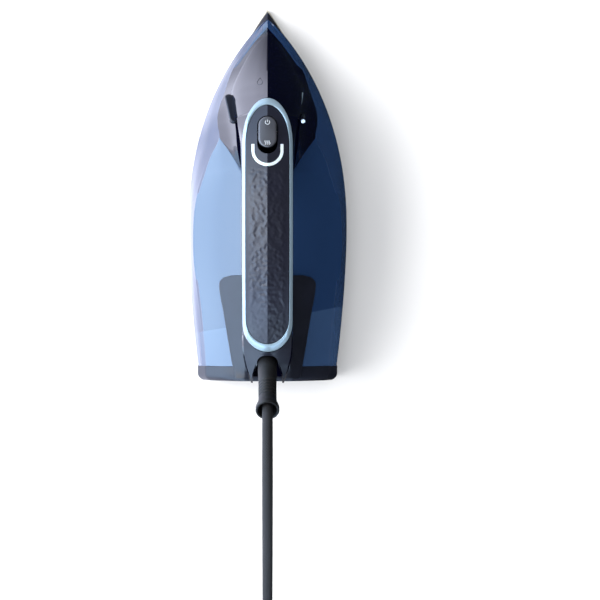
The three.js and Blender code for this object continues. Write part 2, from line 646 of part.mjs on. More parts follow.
function heel() {
  const outer = loft([-145.9, -148, -150, -151.5, -152.8, -153.6, HEEL.back], (y) => heelProfile(y));
  const inner = loft([-140, -151], () => heelProfile(HEEL.front, 3));
  const screwHoles = HEEL.screws.map((x) => solid(rod(3.4, 30).rotateX(Math.PI / 2).translate(x, -167.4, 40)));
  return screwHoles.reduce((made, hole) => made.subtract(hole), outer.subtract(inner));
}

add("rear_cover", rearCover(), "cover");
add("heel_rest", heel(), "cover");
for (const x of HEEL.screws) {
  const head = rod(3, 1).rotateX(Math.PI / 2).translate(x, -153.2, 40);
  add(x < 0 ? "heel_screw_left" : "heel_screw_right", head, "steel");
}

// ---- Cord guard ----
const GROOVES = [38, 42, 46, 50];
function cordGuard() {
  const { root, waist, mouth, ball, length } = GUARD;
  const bore = CORD.radius + 0.4;
  const points = [[bore, 0.5], [root, 0.5], [root, 24], [waist, 34]];
  for (const z of GROOVES) {
    points.push([waist, z], [waist - 0.9, z + 0.6], [waist - 0.9, z + 1.8], [waist, z + 2.4]);
  }
  points.push([waist + 0.3, 56], [mouth, 64], [mouth, length], [mouth - 1.6, length], [bore, length - 9]);
  const sleeve = solid(lathe(points, 16));
  const joint = solid(new THREE.SphereGeometry(ball, 14, 8)).add(solid(crosswise(3, 25, 0, 0, 10)));
  const hollow = solid(rod(bore, 40).translate(0, 0, 15));
  return solid(alongGuard(geometry(sleeve.add(joint).subtract(hollow))));
}

add("cord_guard", cordGuard(), "rubber");

// ---- Mains lead ----
const LEAD_END = 78; // distance from the guard's pivot to where the lead meets the free run
const lead = alongGuard(rod(CORD.radius, LEAD_END - 3, CORD.sides).translate(0, 0, (LEAD_END + 3) / 2));
add("cord_lead", lead, "braid");
const RUN_START = LEAD_END + GAP;
const RUN = [
  [0, GUARD.y - RUN_START * Math.cos(GUARD.lift), GUARD.z + RUN_START * Math.sin(GUARD.lift)],
  [0, -186, 178], [0, -198, 187.2], [0, -212, 190.6], [0, -228, 188.4], [0, -246, 179.8],
  [0, -264, 165.4], [0, -281, 147], [0, -297, 125.8], [0, -312, 103.6], [0, -326, 82.6], [0, -340, 64],
  [0, -355, 48.5], [0, -370, 38.6], [0, -384, 33.8], [0, -398, 32.4],
];
const TAIL = [
  [-8, -398, 36], [-8, -405, 36.6], [-8, -412, 38.5], [-8, -419, 40.4], [-8.3, -426, 41], [-9.2, -437, 39.7],
  [-10.7, -448, 35.8], [-12.6, -459, 29.3], [-14.7, -470, 22.7], [-16.8, -481, 18.8], [-19, -492, 17.5],
  [-20.2, -498, 17.5],
];
// The coil is seven turns in two columns, the inner of which ends a little higher than the outer starts.
const COIL = { x: -50, y: -398, inner: 38, outer: 54, high: 40.2 };
function coil(grow = 0) {
  const [inner, outer] = [COIL.inner - grow, COIL.outer + grow];
  const [low, high] = [grow ? -1 : 0, COIL.high + grow];
  const profile = [[inner, low], [outer, low], [outer, high], [inner, high]];
  return solid(lathe(profile, 32).translate(COIL.x, COIL.y, 0));
}
add("cord_coil", coil(), "braid");
add("cord_run", solid(tube(RUN, CORD.radius, 34, CORD.sides)).subtract(coil(GAP)), "braid");
add("cord_tail", solid(tube(TAIL, CORD.radius, 12, CORD.sides)).subtract(coil(GAP)), "braid");

const PLUG = { x: -20.3, y: -498.4, turn: -0.2, radius: 17.5, boot: 26, body: 36, pinSpacing: 19 };
const alongPlug = (made) =>
  made.rotateX(Math.PI / 2).rotateZ(PLUG.turn).translate(PLUG.x, PLUG.y, PLUG.radius);
const PIN_OFFSETS = [-PLUG.pinSpacing / 2, PLUG.pinSpacing / 2];
function plugBody() {
  const { boot, body, radius } = PLUG;
  const profile = [
    [0, 0], [5.4, 0], [7, boot - 8], [9.5, boot], [radius - 2, boot + 6], [radius, boot + 9],
    [radius, boot + body - 1.5], [radius - 1.5, boot + body], [0, boot + body],
  ];
  const holes = PIN_OFFSETS.map((x) => solid(rod(2.7, 20, 12).translate(x, 0, boot + body)));
  const made = holes.reduce((plug, hole) => plug.subtract(hole), solid(lathe(profile, 24)));
  return solid(alongPlug(geometry(made)));
}
add("plug_body", plugBody(), "rubber");
PIN_OFFSETS.forEach((x, i) => {
  const pin = alongPlug(rod(2.4, 28, 12).translate(x, 0, PLUG.boot + PLUG.body + 5));
  add(`plug_pin_${i + 1}`, pin, "brass");
});

export default iron;
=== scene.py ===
"""Looks of the steam iron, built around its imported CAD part.

Shapes are worked out in millimetres and turned into metres as each mesh is made. The cord's route and the
scene around the iron are in metres.
"""
import json
import math

import bmesh
import bpy
from mathutils import Matrix, Vector

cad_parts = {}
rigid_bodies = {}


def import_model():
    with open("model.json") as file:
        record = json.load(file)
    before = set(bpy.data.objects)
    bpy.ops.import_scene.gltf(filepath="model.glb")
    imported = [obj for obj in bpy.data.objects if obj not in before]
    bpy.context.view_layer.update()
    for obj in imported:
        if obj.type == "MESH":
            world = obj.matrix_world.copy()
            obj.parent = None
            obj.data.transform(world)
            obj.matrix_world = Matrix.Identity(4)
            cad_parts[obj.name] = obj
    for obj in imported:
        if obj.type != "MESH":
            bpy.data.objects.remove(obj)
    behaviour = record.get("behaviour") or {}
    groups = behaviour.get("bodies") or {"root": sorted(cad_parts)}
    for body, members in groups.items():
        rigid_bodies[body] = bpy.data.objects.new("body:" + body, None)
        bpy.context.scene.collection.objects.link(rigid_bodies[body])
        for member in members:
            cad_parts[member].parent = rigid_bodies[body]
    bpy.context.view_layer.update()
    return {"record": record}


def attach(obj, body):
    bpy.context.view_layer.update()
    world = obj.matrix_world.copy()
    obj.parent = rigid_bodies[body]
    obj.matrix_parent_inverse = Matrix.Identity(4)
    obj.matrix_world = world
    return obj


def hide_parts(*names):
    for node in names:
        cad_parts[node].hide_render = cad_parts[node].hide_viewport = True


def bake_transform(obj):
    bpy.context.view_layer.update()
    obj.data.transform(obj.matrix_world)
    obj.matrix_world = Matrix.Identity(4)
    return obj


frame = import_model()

MM = 0.001
BODY = "iron"

# ---------------------------------------------------------------- camera
CAMERA_HEIGHT = 1.5
camera_data = bpy.data.cameras.new("camera")
camera_data.sensor_width = 36.0
camera_data.lens = 107.2
camera_data.shift_x = 0.0542
camera = bpy.data.objects.new("camera", camera_data)
camera.location = (0.0, -0.0886, CAMERA_HEIGHT)
bpy.context.scene.collection.objects.link(camera)
bpy.context.scene.camera = camera


# ---------------------------------------------------------------- shape tools
def through(points):
    """A smooth function through a few (at, value) points, flat past its ends."""
    known = sorted(points)
    last = len(known) - 1
    slopes = []
    for i in range(last + 1):
        before, after = known[max(i - 1, 0)], known[min(i + 1, last)]
        slopes.append((after[1] - before[1]) / (after[0] - before[0]))

    def value(at):
        if at <= known[0][0]:
            return known[0][1]
        if at >= known[last][0]:
            return known[last][1]
        i = next(k for k in range(last) if known[k + 1][0] > at)
        (x0, y0), (x1, y1) = known[i], known[i + 1]
        span = x1 - x0
        t = (at - x0) / span
        ease = t * t * (3 - 2 * t)
        rise = span * (slopes[i] * t * (1 - t) ** 2 - slopes[i + 1] * t * t * (1 - t))
        return y0 + (y1 - y0) * ease + rise

    return value


def spread(start, end, step):
    """Evenly spaced values from start to end, about a step apart."""
    count = max(2, round(abs(end - start) / step))
    return [start + (end - start) * i / count for i in range(count + 1)]


def smooth(points, per_span):
    """Points on a Catmull-Rom curve through the given (x, z) points."""
    out = []
    for i in range(len(points) - 1):
        a, b = points[max(i - 1, 0)], points[i]
        c, d = points[i + 1], points[min(i + 2, len(points) - 1)]
        for k in range(per_span):
            t = k / per_span
            out.append(tuple(
                0.5 * (2 * q + (r - p) * t + (2 * p - 5 * q + 4 * r - s) * t * t
                       + (3 * q - p - 3 * r + s) * t ** 3)
                for p, q, r, s in zip(a, b, c, d)))
    return out


def section(*curves, per_span=6):
    """Right half of a closed section: smooth curves that meet in corners, from bottom centre to top."""
    points = []
    for curve in curves:
        points += smooth(curve, per_span)
    return points + [curves[-1][-1]]


def new_object(name, mesh, body=BODY, replaces=()):
    obj = bpy.data.objects.new(name, mesh)
    bpy.context.scene.collection.objects.link(obj)
    if body:
        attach(obj, body)
    if replaces:
        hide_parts(*replaces)
    return obj


def build_mesh(name, verts, faces):
    """A closed mesh from points in millimetres, its faces pointing out."""
    mesh = bpy.data.meshes.new(name)
    mesh.from_pydata([(x * MM, y * MM, z * MM) for x, y, z in verts], [], faces)
    work = bmesh.new()
    work.from_mesh(mesh)
    bmesh.ops.remove_doubles(work, verts=work.verts, dist=1e-7)
    bmesh.ops.recalc_face_normals(work, faces=work.faces)
    work.to_mesh(mesh)
    work.free()
    mesh.shade_smooth()
    return mesh


def grid_faces(rings, count, closed_rings=True, closed_run=False):
    """Four-sided faces between rings of count points each. A closed run joins the last ring to the first."""
    faces = []
    for i in range(rings if closed_run else rings - 1):
        for k in range(count if closed_rings else count - 1):
            a, b = i * count + k, i * count + (k + 1) % count
            c, d = (i + 1) % rings * count + k, (i + 1) % rings * count + (k + 1) % count
            faces.append((a, b, d, c))
    return faces


def loft(ys, profile):
    """Points and faces of a body that is the same on both sides; profile(y) is its right half."""
    verts = []
    for y in ys:
        right = profile(y)
        ring = right + [(-x, z) for x, z in reversed(right[1:-1])]
        verts += [(x, y, z) for x, z in ring]
    count = len(verts) // len(ys)
    faces = grid_faces(len(ys), count)
    faces.append(tuple(range(count)))
    faces.append(tuple(len(verts) - count + k for k in range(count)))
    return verts, faces


def prism(outline, low, high):
    """Points and faces of a plan outline stood up between two heights."""
    count = len(outline)
    verts = [(x, y, low) for x, y in outline] + [(x, y, high) for x, y in outline]
    faces = grid_faces(2, count)
    faces += [tuple(range(count)), tuple(range(count, 2 * count))]
    return verts, faces


def turned(profile, sides):
    """Points and faces of a closed (radius, z) outline turned about z."""
    verts = []
    for i in range(sides):
        angle = 2 * math.pi * i / sides
        verts += [(r * math.cos(angle), r * math.sin(angle), z) for r, z in profile]
    return verts, grid_faces(sides, len(profile), closed_run=True)


def moved(shape, matrix):
    verts, faces = shape
    return [tuple(matrix @ Vector(v)) for v in verts], faces


def rod(radius, start, end, sides=24):
    """Points and faces of a round bar between two points."""
    start, end = Vector(start), Vector(end)
    turn = (end - start).to_track_quat("Z", "Y").to_matrix().to_4x4()
    circle = [(radius * math.cos(2 * math.pi * k / sides), radius * math.sin(2 * math.pi * k / sides))
              for k in range(sides)]
    return moved(prism(circle, 0, (end - start).length), Matrix.Translation(start) @ turn)


def cut(obj, *shapes):
    """Takes shapes out of an object's mesh."""
    for shape in shapes:
        cutter = bpy.data.objects.new("cutter", build_mesh("cutter", *shape))
        bpy.context.scene.collection.objects.link(cutter)
        modifier = obj.modifiers.new("cut", "BOOLEAN")
        modifier.object = cutter
        modifier.solver = "MANIFOLD"
        bpy.context.view_layer.update()
        done = bpy.data.meshes.new_from_object(obj.evaluated_get(bpy.context.evaluated_depsgraph_get()))
        obj.modifiers.clear()
        obj.data = done
        bpy.data.objects.remove(cutter)
    obj.data.shade_smooth()


def soften(obj, width=0.35, angle=28, segments=3):
    """Rounds the edges that are sharper than an angle and keeps the faces beside them flat to the light."""
    bevel = obj.modifiers.new("rounded_edges", "BEVEL")
    bevel.width = width * MM
    bevel.segments = segments
    bevel.limit_method = "ANGLE"
    bevel.angle_limit = math.radians(angle)
    bevel.use_clamp_overlap = True
    bevel.harden_normals = True
    obj.data.set_sharp_from_angle(angle=math.radians(60))


# ---------------------------------------------------------------- the iron's shape, in millimetres
HALF_LENGTH = 154
WIDEST_Y = -30
REAR_TAPER = 9.8
TIP = 154
GAP = 0.3
RING = {"half": 19.2, "front": 66.6, "rear": -128.7, "front_bend": 30, "rear_bend": -106, "thick": 3.2}
GRIP = {"half": 16.4, "front": 60.7, "rear": -122.2, "front_bend": 30, "rear_bend": -103, "thick": 2.6}
BUTTON = {"half": 6.9, "front": 51, "rear": 26.7, "well_rear": 21.9, "well_gap": 0.8, "tall": 11}
LIGHT = {"y": 24.5, "radius": 11, "width": 2.3, "legs": 29.6}
GUARD = {"y": -132.3, "z": 104.9, "lift": 0.94, "length": 66.8}
PIVOT_PLACE = (0, GUARD["y"], GUARD["z"])
FORK = {"half": 11.6, "depth": 20.5, "floor": 91, "centre": -153.6, "open": -160}
INLET = {"y": 97, "radius": 8.6}
SCREW = {"x": 34, "z": 40}
TANK_BOTTOM = 24
TANK_BULGE = 34
TANK_REAR = -142.4


def half_width(tip, half, sharp, full):
    """A plan outline: its half width by y, closing at the tip and tapering towards the heel."""
    def at(y):
        if y > WIDEST_Y:
            t = min((y - WIDEST_Y) / (tip - WIDEST_Y), 1)
            return half * (1 - t ** sharp) ** full
        return half - REAR_TAPER * ((WIDEST_Y - y) / (HALF_LENGTH + WIDEST_Y)) ** 1.7

    return at


sole_half = half_width(TIP, 61, 2, 1)
SKIRT_TIP = 151.9
skirt_half = half_width(SKIRT_TIP, 60.2, 2.05, 1)
tank_half = half_width(141.5, 65, 2.2, 0.85)
shoulder_share = through([
    (141.5, 0.7), (114, 0.76), (98.7, 0.815), (80, 0.79), (62.6, 0.79), (53, 0.75), (42, 0.685),
    (28.6, 0.763), (14.4, 0.826), (-4.3, 0.89), (-22, 0.92), (-56, 0.932), (-80, 0.905), (-106, 0.885),
    (-146, 0.88)])
shoulder_height = through([
    (141.5, 34.6), (134, 36), (128, 38.5), (114, 44.5), (98.7, 52), (80, 55), (62, 58), (42, 60),
    (28, 58.5), (14, 57), (-22, 54), (-56, 52), (-106, 50), (-146, 46)])
COLLAR_APEX = 42
COLLAR_REAR = 13
COLLAR_NOSE = 134.4
RIM_SLOPE = 0.62
GRIP_SEAT = 3.7
nose_foot = through([
    (141.5, 0.2), (134.4, 0.3), (127.2, 5.7), (121.5, 10.5), (110, 18.6), (100, 26), (92, 40), (42, 60)])
POST_SEAM = 53
collar_foot = through([(42, 38.8), (30, 30.2), (17.5, 22.6), (13, 20.3), (-20, 20), (-146, 20)])
spine_height = through([
    (42, 60), (30, 68), (17.5, 75.5), (13, 78.5), (0, 79), (-30, 78.5), (-60, 77.5), (-100, 74),
    (-146, 62)])
door_half = through([
    (134.5, 0.3), (130, 0.6), (121, 8), (112, 14), (96, 22.3), (80, 28.3), (72, 29), (62, 27.6), (53, 26),
    (45, 25), (33, 24.2), (17, 21.4), (13, 20)])
ridge_height = through([
    (141, 33), (130, 43), (115, 62), (100, 84), (85, 105.5), (75, 118.5), (68.5, 126.8), (60, 133.8),
    (50, 140)])
handle_top = through([
    (75, 121), (68.5, 127.5), (60, 134.5), (45, 144), (25, 151.5), (0, 156.5), (-25, 158), (-55, 155.5),
    (-85, 147), (-110, 134.5), (-128.7, 122), (-140, 114.5), (-154, 106.5)])
handle_under = through([
    (68, 97), (53.1, 90.2), (13, 80.5), (9, 90), (6, 104), (2, 115), (-6, 120), (-25, 122.5), (-55, 120),
    (-80, 113), (-92, 106), (-100, 95), (-104, 84)])
handle_half = through([
    (66, 4), (60, 11.4), (56, 15), (53, 22.6), (49, 23.2), (33, 21), (15, 20.2), (0, 19.8), (-100, 19.8),
    (-125, 19.6), (-134, 18.6), (-140, 17.2), (-143.5, 16.3), (-148.5, 14.7), (-153.6, 12.9)])
cover_half = through([(-69, 29), (-70.5, 35), (-76, 38.7), (-100, 35), (-137, 29), (-151.5, 26)])


def shoulder_half(y):
    return shoulder_share(y) * tank_half(y)


def foot_half(y):
    return min(shoulder_half(y), nose_foot(y)) if y > COLLAR_APEX else collar_foot(y)


def foot_height(y):
    """Where the tank's roof meets the collar. Ahead of the collar its two halves meet in a ridge."""
    if y <= COLLAR_APEX:
        return spine_height(y)
    room = rim_height(min(y, COLLAR_NOSE)) - 0.8 - shoulder_height(y)
    return shoulder_height(y) + max(0.0, min(0.55 * (shoulder_half(y) - foot_half(y)), room))


def rim_height(y):
    """Height of the collar's upper rim, where the nose door lies."""
    return 42 + (130 - y) * RIM_SLOPE


def post_seat(y):
    """Height of the collar under the front post of the handle."""
    return 80 + (rim_height(POST_SEAM) - 80) * ((y - COLLAR_REAR) / (POST_SEAM - COLLAR_REAR))


def collar_top(y):
    return rim_height(y) if y > POST_SEAM else post_seat(y)


def cover_top(y):
    return spine_height(y) + 6 - max(0, -137 - y) * 0.2


def underside(y):
    if y < -103:
        return cover_top(y) + GAP
    if COLLAR_REAR < y <= POST_SEAM:
        return post_seat(y) + GAP
    return handle_under(y)


def roof_height(x, y):
    x = abs(x)
    drop = 0.3 * x if x < GRIP["half"] else 0.3 * GRIP["half"] + 1.6 * (x - GRIP["half"])
    return handle_top(y) - drop


def slot_half(y, slot, grow=0.0):
    """Half width of a plan outline with straight sides and elliptical ends."""
    half = slot["half"] + grow
    if slot["rear_bend"] <= y <= slot["front_bend"]:
        return half
    if y > slot["front_bend"]:
        bend, end = slot["front_bend"], slot["front"] + grow
    else:
        bend, end = slot["rear_bend"], slot["rear"] - grow
    return half * math.sqrt(max(0.0, 1 - ((y - bend) / (end - bend)) ** 2))


# ---------------------------------------------------------------- materials
def shader(name, color, roughness, **inputs):
    """A Principled material. It returns the material, its node tree and its shader."""
    material = bpy.data.materials.new(name)
    material.use_nodes = True
    tree = material.node_tree
    principled = tree.nodes["Principled BSDF"]
    principled.inputs["Base Color"].default_value = (*color, 1.0)
    principled.inputs["Roughness"].default_value = roughness
    for key, value in inputs.items():
        principled.inputs[key.replace("_", " ")].default_value = value
    return material, tree, principled


def noise(tree, scale, detail=3.0, stretch=(1.0, 1.0, 1.0)):
    """A noise pattern fixed to the piece, with scale in waves per metre."""
    place = tree.nodes.new("ShaderNodeTexCoord")
    mapping = tree.nodes.new("ShaderNodeMapping")
    mapping.inputs["Scale"].default_value = stretch
    pattern = tree.nodes.new("ShaderNodeTexNoise")
    pattern.inputs["Scale"].default_value = scale
    pattern.inputs["Detail"].default_value = detail
    tree.links.new(place.outputs["Object"], mapping.inputs["Vector"])
    tree.links.new(mapping.outputs["Vector"], pattern.inputs["Vector"])
    return pattern


def vary(tree, source, target, low, high, start=0.3, end=0.7):
    """Drives a shader value or colour between low and high by a pattern."""
    ramp = tree.nodes.new("ShaderNodeValToRGB")
    ramp.color_ramp.elements[0].position = start
    ramp.color_ramp.elements[1].position = end
    as_color = isinstance(low, tuple)
    ramp.color_ramp.elements[0].color = (*low, 1.0) if as_color else (low, low, low, 1.0)
    ramp.color_ramp.elements[1].color = (*high, 1.0) if as_color else (high, high, high, 1.0)
    tree.links.new(source, ramp.inputs["Fac"])
    tree.links.new(ramp.outputs["Color"], target)


def bump(tree, principled, source, strength, distance):
    """Raises the surface by a pattern; distance is in metres."""
    node = tree.nodes.new("ShaderNodeBump")
    node.inputs["Strength"].default_value = strength
    node.inputs["Distance"].default_value = distance
    if principled.inputs["Normal"].links:
        tree.links.new(principled.inputs["Normal"].links[0].from_socket, node.inputs["Normal"])
    tree.links.new(source, node.inputs["Height"])
    tree.links.new(node.outputs["Normal"], principled.inputs["Normal"])


def moulded(name, color, roughness, grain=1400.0, grain_depth=0.00004, wander=0.25, **inputs):
    """Moulded plastic or rubber: a little unevenness of tone and gloss, and a fine spark-eroded grain."""
    material, tree, principled = shader(name, color, roughness, **inputs)
    cloud = noise(tree, 28.0, 4.0)
    darker = tuple(c * (1 - wander) for c in color)
    lighter = tuple(min(1.0, c * (1 + wander)) for c in color)
    vary(tree, cloud.outputs["Fac"], principled.inputs["Base Color"], darker, lighter)
    smear = noise(tree, 90.0, 6.0, (1.0, 0.35, 1.0))
    rougher = min(1.0, roughness * 1.2)
    vary(tree, smear.outputs["Fac"], principled.inputs["Roughness"], roughness * 0.85, rougher)
    bump(tree, principled, noise(tree, grain, 2.0).outputs["Fac"], 0.35, grain_depth)
    return material


def glossy(name, color, roughness, **inputs):
    """Polished plastic: hairline scratches and a slight orange peel under a clear gloss."""
    material, tree, principled = shader(name, color, roughness, **inputs)
    scratches = noise(tree, 900.0, 2.0, (1.0, 0.04, 1.0))
    vary(tree, scratches.outputs["Fac"], principled.inputs["Roughness"], roughness * 0.8, roughness * 2.0,
         0.45, 0.8)
    bump(tree, principled, noise(tree, 60.0, 2.0).outputs["Fac"], 0.06, 0.0004)
    return material


def brushed(name, color, roughness):
    """Metal with fine lines along y."""
    material, tree, principled = shader(name, color, roughness, Metallic=1.0)
    lines = noise(tree, 1600.0, 3.0, (1.0, 0.02, 1.0))
    vary(tree, lines.outputs["Fac"], principled.inputs["Roughness"], roughness * 0.7, roughness * 1.5)
    bump(tree, principled, lines.outputs["Fac"], 0.12, 0.00003)
    return material


SHADE_LEAN = (-0.18, 1.0, 0.0)
SHADE_START, SHADE_END = -0.1052, -0.1042


def shaded_tank(name, color, pale_color):
    """The tank's tinted plastic, paler behind a slanting line near the heel."""
    material = glossy(name, color, 0.06, Transmission_Weight=0.3, IOR=1.5, Coat_Weight=0.5,
                      Coat_Roughness=0.04)
    tree = material.node_tree
    principled = tree.nodes["Principled BSDF"]
    place = tree.nodes.new("ShaderNodeTexCoord")
    along = tree.nodes.new("ShaderNodeVectorMath")
    along.operation = "DOT_PRODUCT"
    along.inputs[1].default_value = SHADE_LEAN
    tree.links.new(place.outputs["Object"], along.inputs[0])
    step = tree.nodes.new("ShaderNodeMapRange")
    step.inputs["From Min"].default_value = SHADE_START
    step.inputs["From Max"].default_value = SHADE_END
    step.inputs["To Min"].default_value = 1.0
    step.inputs["To Max"].default_value = 0.0
    tree.links.new(along.outputs["Value"], step.inputs["Value"])
    mix = tree.nodes.new("ShaderNodeMix")
    mix.data_type = "RGBA"
    tree.links.new(step.outputs["Result"], mix.inputs["Factor"])
    mix.inputs["A"].default_value = (*color, 1.0)
    mix.inputs["B"].default_value = (*pale_color, 1.0)
    tree.links.new(mix.outputs["Result"], principled.inputs["Base Color"])
    return material


STRAND_TURN = 12 * 2 * math.pi


def braided(name):
    """Textile sleeve: two sets of strands that cross, drawn in the tube's own coordinates."""
    material, tree, principled = shader(name, (0.012, 0.0125, 0.015), 0.7, Specular_IOR_Level=0.2)
    uv = tree.nodes.new("ShaderNodeUVMap")
    split = tree.nodes.new("ShaderNodeSeparateXYZ")
    tree.links.new(uv.outputs["UV"], split.inputs["Vector"])

    def math_node(kind, a, b=0.0):
        node = tree.nodes.new("ShaderNodeMath")
        node.operation = kind
        for socket, value in zip(node.inputs, (a, b)):
            if isinstance(value, (int, float)):
                socket.default_value = value
            else:
                tree.links.new(value, socket)
        return node.outputs[0]

    around = math_node("MULTIPLY", split.outputs["X"], STRAND_TURN)
    along = math_node("MULTIPLY", split.outputs["Y"], STRAND_TURN)
    one = math_node("SINE", math_node("ADD", around, along))
    other = math_node("SINE", math_node("SUBTRACT", around, along))
    weave = math_node("MAXIMUM", one, other)
    height = math_node("MULTIPLY_ADD", weave, 0.5)
    # The strands' colour follows the weave, lighter on their crests and darker in the hollows between them:
    # painted shade.
    vary(tree, height, principled.inputs["Base Color"], (0.003, 0.003, 0.0035), (0.018, 0.018, 0.02),
         0.0, 0.5)
    bump(tree, principled, height, 0.8, 0.00035)
    fluff = noise(tree, 2600.0, 2.0)
    bump(tree, principled, fluff.outputs["Fac"], 0.4, 0.0001)
    return material


MATERIALS = {
    "sole": moulded("sole_coating", (0.80, 0.76, 0.66), 0.22, 700.0, 0.00001, 0.05, Metallic=0.35),
    "aluminium": moulded("cast_aluminium", (0.55, 0.56, 0.58), 0.42, 500.0, 0.0002, 0.1, Metallic=0.9),
    "steel": brushed("bright_steel", (0.62, 0.63, 0.65), 0.24),
    "brass": brushed("brass", (0.75, 0.56, 0.24), 0.25),
    "skirt": moulded("skirt_plastic", (0.016, 0.018, 0.03), 0.3, 900.0),
    "tank": shaded_tank("tank_plastic", (0.021, 0.056, 0.155), (0.050, 0.105, 0.235)),
    "navy": glossy("navy_gloss", (0.0008, 0.001, 0.009), 0.1, Coat_Weight=0.1, Coat_Roughness=0.06),
    "cover": moulded("cover_plastic", (0.010, 0.012, 0.022), 0.34, 1100.0, Specular_IOR_Level=0.3),
    "ring": moulded("ring_satin", (0.27, 0.38, 0.47), 0.34, 2000.0, 0.000005, 0.04, Metallic=0.25),
    "grip": moulded("grip_rubber", (0.011, 0.012, 0.023), 0.42, 1500.0, 0.00002, Specular_IOR_Level=0.38),
    "button": moulded("button_plastic", (0.05, 0.053, 0.066), 0.42, 1500.0, 0.00002),
    "light": moulded("light_lens", (0.86, 0.89, 0.94), 0.35, 800.0, 0.00001, 0.02,
                     Subsurface_Weight=0.3),
    "rubber": moulded("guard_rubber", (0.008, 0.008, 0.0085), 0.5, 1300.0, Specular_IOR_Level=0.2),
    "braid": braided("cord_braid"),
    "board": moulded("circuit_board", (0.02, 0.13, 0.05), 0.4, 300.0),
    "white": moulded("white_nylon", (0.70, 0.72, 0.74), 0.45),
}


def finish_piece(obj, slot):
    """Gives an object the material of its slot."""
    obj.data.materials.clear()
    obj.data.materials.append(MATERIALS[slot])
    return obj


def piece(name, shape, slot, replaces=(), body=BODY, edge=0.35, angle=28, cuts=()):
    """One finished piece: its mesh, the cuts in it, its rounded edges, its material and what it rides on."""
    obj = new_object(name, build_mesh(name, *shape), body, replaces)
    if cuts:
        cut(obj, *cuts)
    if edge:
        soften(obj, edge, angle)
    return finish_piece(obj, slot)


for entry in frame["record"]["subparts"]:
    node = bpy.data.objects[entry["node"]]
    if node.type == "MESH":
        finish_piece(node, entry["material_slot"])


# ---------------------------------------------------------------- outlines used by several pieces
def plan(half, tip, rear, inset=0.0, count=90):
    """Plan outline of a half-width function between two stations, closer together at the nose."""
    ys = [tip - inset - (tip - rear - 2 * inset) * (i / count) ** 1.35 for i in range(count + 1)]
    side = [(max(half(y) - inset, 0.2), y) for y in ys]
    return side + [(-x, y) for x, y in reversed(side)]


def slot_plan(half, front, rear, inset=0.0, steps=20):
    """Plan outline of a slot with round ends."""
    r = half - inset
    ends = []
    for middle, start in ((front - half, 0.0), (rear + half, math.pi)):
        for i in range(steps + 1):
            angle = start + math.pi * i / steps
            ends.append((r * math.cos(angle), middle + r * math.sin(angle)))
    return ends


def cushion(outline_at, floor, top, roll, reach, steps=6):
    """A block with its upper edge rolled over. outline_at(inset) is its plan; floor and top give heights."""
    rings = [[(x, y, floor(x, y)) for x, y in outline_at(0)]]
    for k in range(steps + 1):
        angle = math.pi / 2 * k / steps
        rings.append([(x, y, top(x, y) - roll * (1 - math.sin(angle)))
                      for x, y in outline_at(roll * (1 - math.cos(angle)))])
    for inset in spread(roll, reach, 0.7)[1:]:
        rings.append([(x, y, top(x, y)) for x, y in outline_at(inset)])
    count = len(rings[0])
    faces = grid_faces(len(rings), count)
    faces += [tuple(range(count)), tuple((len(rings) - 1) * count + k for k in range(count))]
    return [point for ring in rings for point in ring], faces


def ribbon(points, width, height, rise=0.06, deep=0.5, closed=False):
    """A strip along plan points that stands a little proud of the surface height(x, y)."""
    verts = []
    last = len(points) - 1
    for i, (x, y) in enumerate(points):
        before = points[(i - 1) % len(points)] if closed else points[max(i - 1, 0)]
        after = points[(i + 1) % len(points)] if closed else points[min(i + 1, last)]
        dx, dy = after[0] - before[0], after[1] - before[1]
        scale = width / 2 / math.hypot(dx, dy)
        for side, up in ((-1, -deep), (1, -deep), (1, rise), (-1, rise)):
            px, py = x + side * dy * scale, y - side * dx * scale
            verts.append((px, py, height(px, py) + up))
    faces = grid_faces(len(points), 4, closed_run=closed)
    if not closed:
        faces += [(0, 1, 2, 3), tuple(4 * last + k for k in range(4))]
    return verts, faces


def sideways(outline, half):
    """A side view, its first coordinate being the iron's y, made as thick as twice half."""
    verts, faces = prism(outline, -half, half)
    return [(z, x, y) for x, y, z in verts], faces


def joined(*shapes):
    """Several shapes as one."""
    verts, faces = [], []
    for more_verts, more_faces in shapes:
        faces += [tuple(k + len(verts) for k in face) for face in more_faces]
        verts += more_verts
    return verts, faces


def ball(radius, centre, steps=24):
    """Points and faces of a ball whose poles lie on z."""
    arc = [(radius * math.sin(math.pi * i / steps), -radius * math.cos(math.pi * i / steps))
           for i in range(1, steps)]
    sides = 2 * steps
    verts = [(r * math.cos(2 * math.pi * k / sides), r * math.sin(2 * math.pi * k / sides), z)
             for r, z in arc for k in range(sides)]
    faces = grid_faces(len(arc), sides)
    faces += [tuple(range(sides)), tuple((len(arc) - 1) * sides + k for k in range(sides))]
    return moved((verts, faces), Matrix.Translation(centre))


def along_guard(shape, turn=0.0):
    """Puts a shape whose z runs out of the guard's pivot onto the guard's axis."""
    place = Matrix.Translation(PIVOT_PLACE)
    return moved(shape, place @ Matrix.Rotation(math.pi / 2 - GUARD["lift"] - turn, 4, "X"))


# ---------------------------------------------------------------- sole and skirt
VENT_ROWS = (112, 84, 62, 40, 18, -4, -30, -60)
VENT_SPREAD = 0.62
vents = [(0, 128), (0, 98)]
for row in VENT_ROWS:
    vents += [(sole_half(row) * VENT_SPREAD, row), (-sole_half(row) * VENT_SPREAD, row)]
vent_holes = joined(*(rod(1.8, (x, y, -1), (x, y, 7), 20) for x, y in vents))
SOLE_RIM = 1.7
RIM_BEND = 151


def blunt_sole(y):
    """The sole's outline with a rounded tip, showing as an even rim around the skirt's nose."""
    if y < 110:
        return sole_half(y)
    rim = SOLE_RIM * math.sqrt(max(0.0, 1 - (max(0.0, y - RIM_BEND) / (TIP - RIM_BEND)) ** 2))
    return max(sole_half(y), skirt_half(min(y, SKIRT_TIP)) + rim)


piece("sole", prism(plan(blunt_sole, TIP, -141), 0, 5.5), "sole", ["soleplate"], edge=0.9, cuts=[vent_holes])

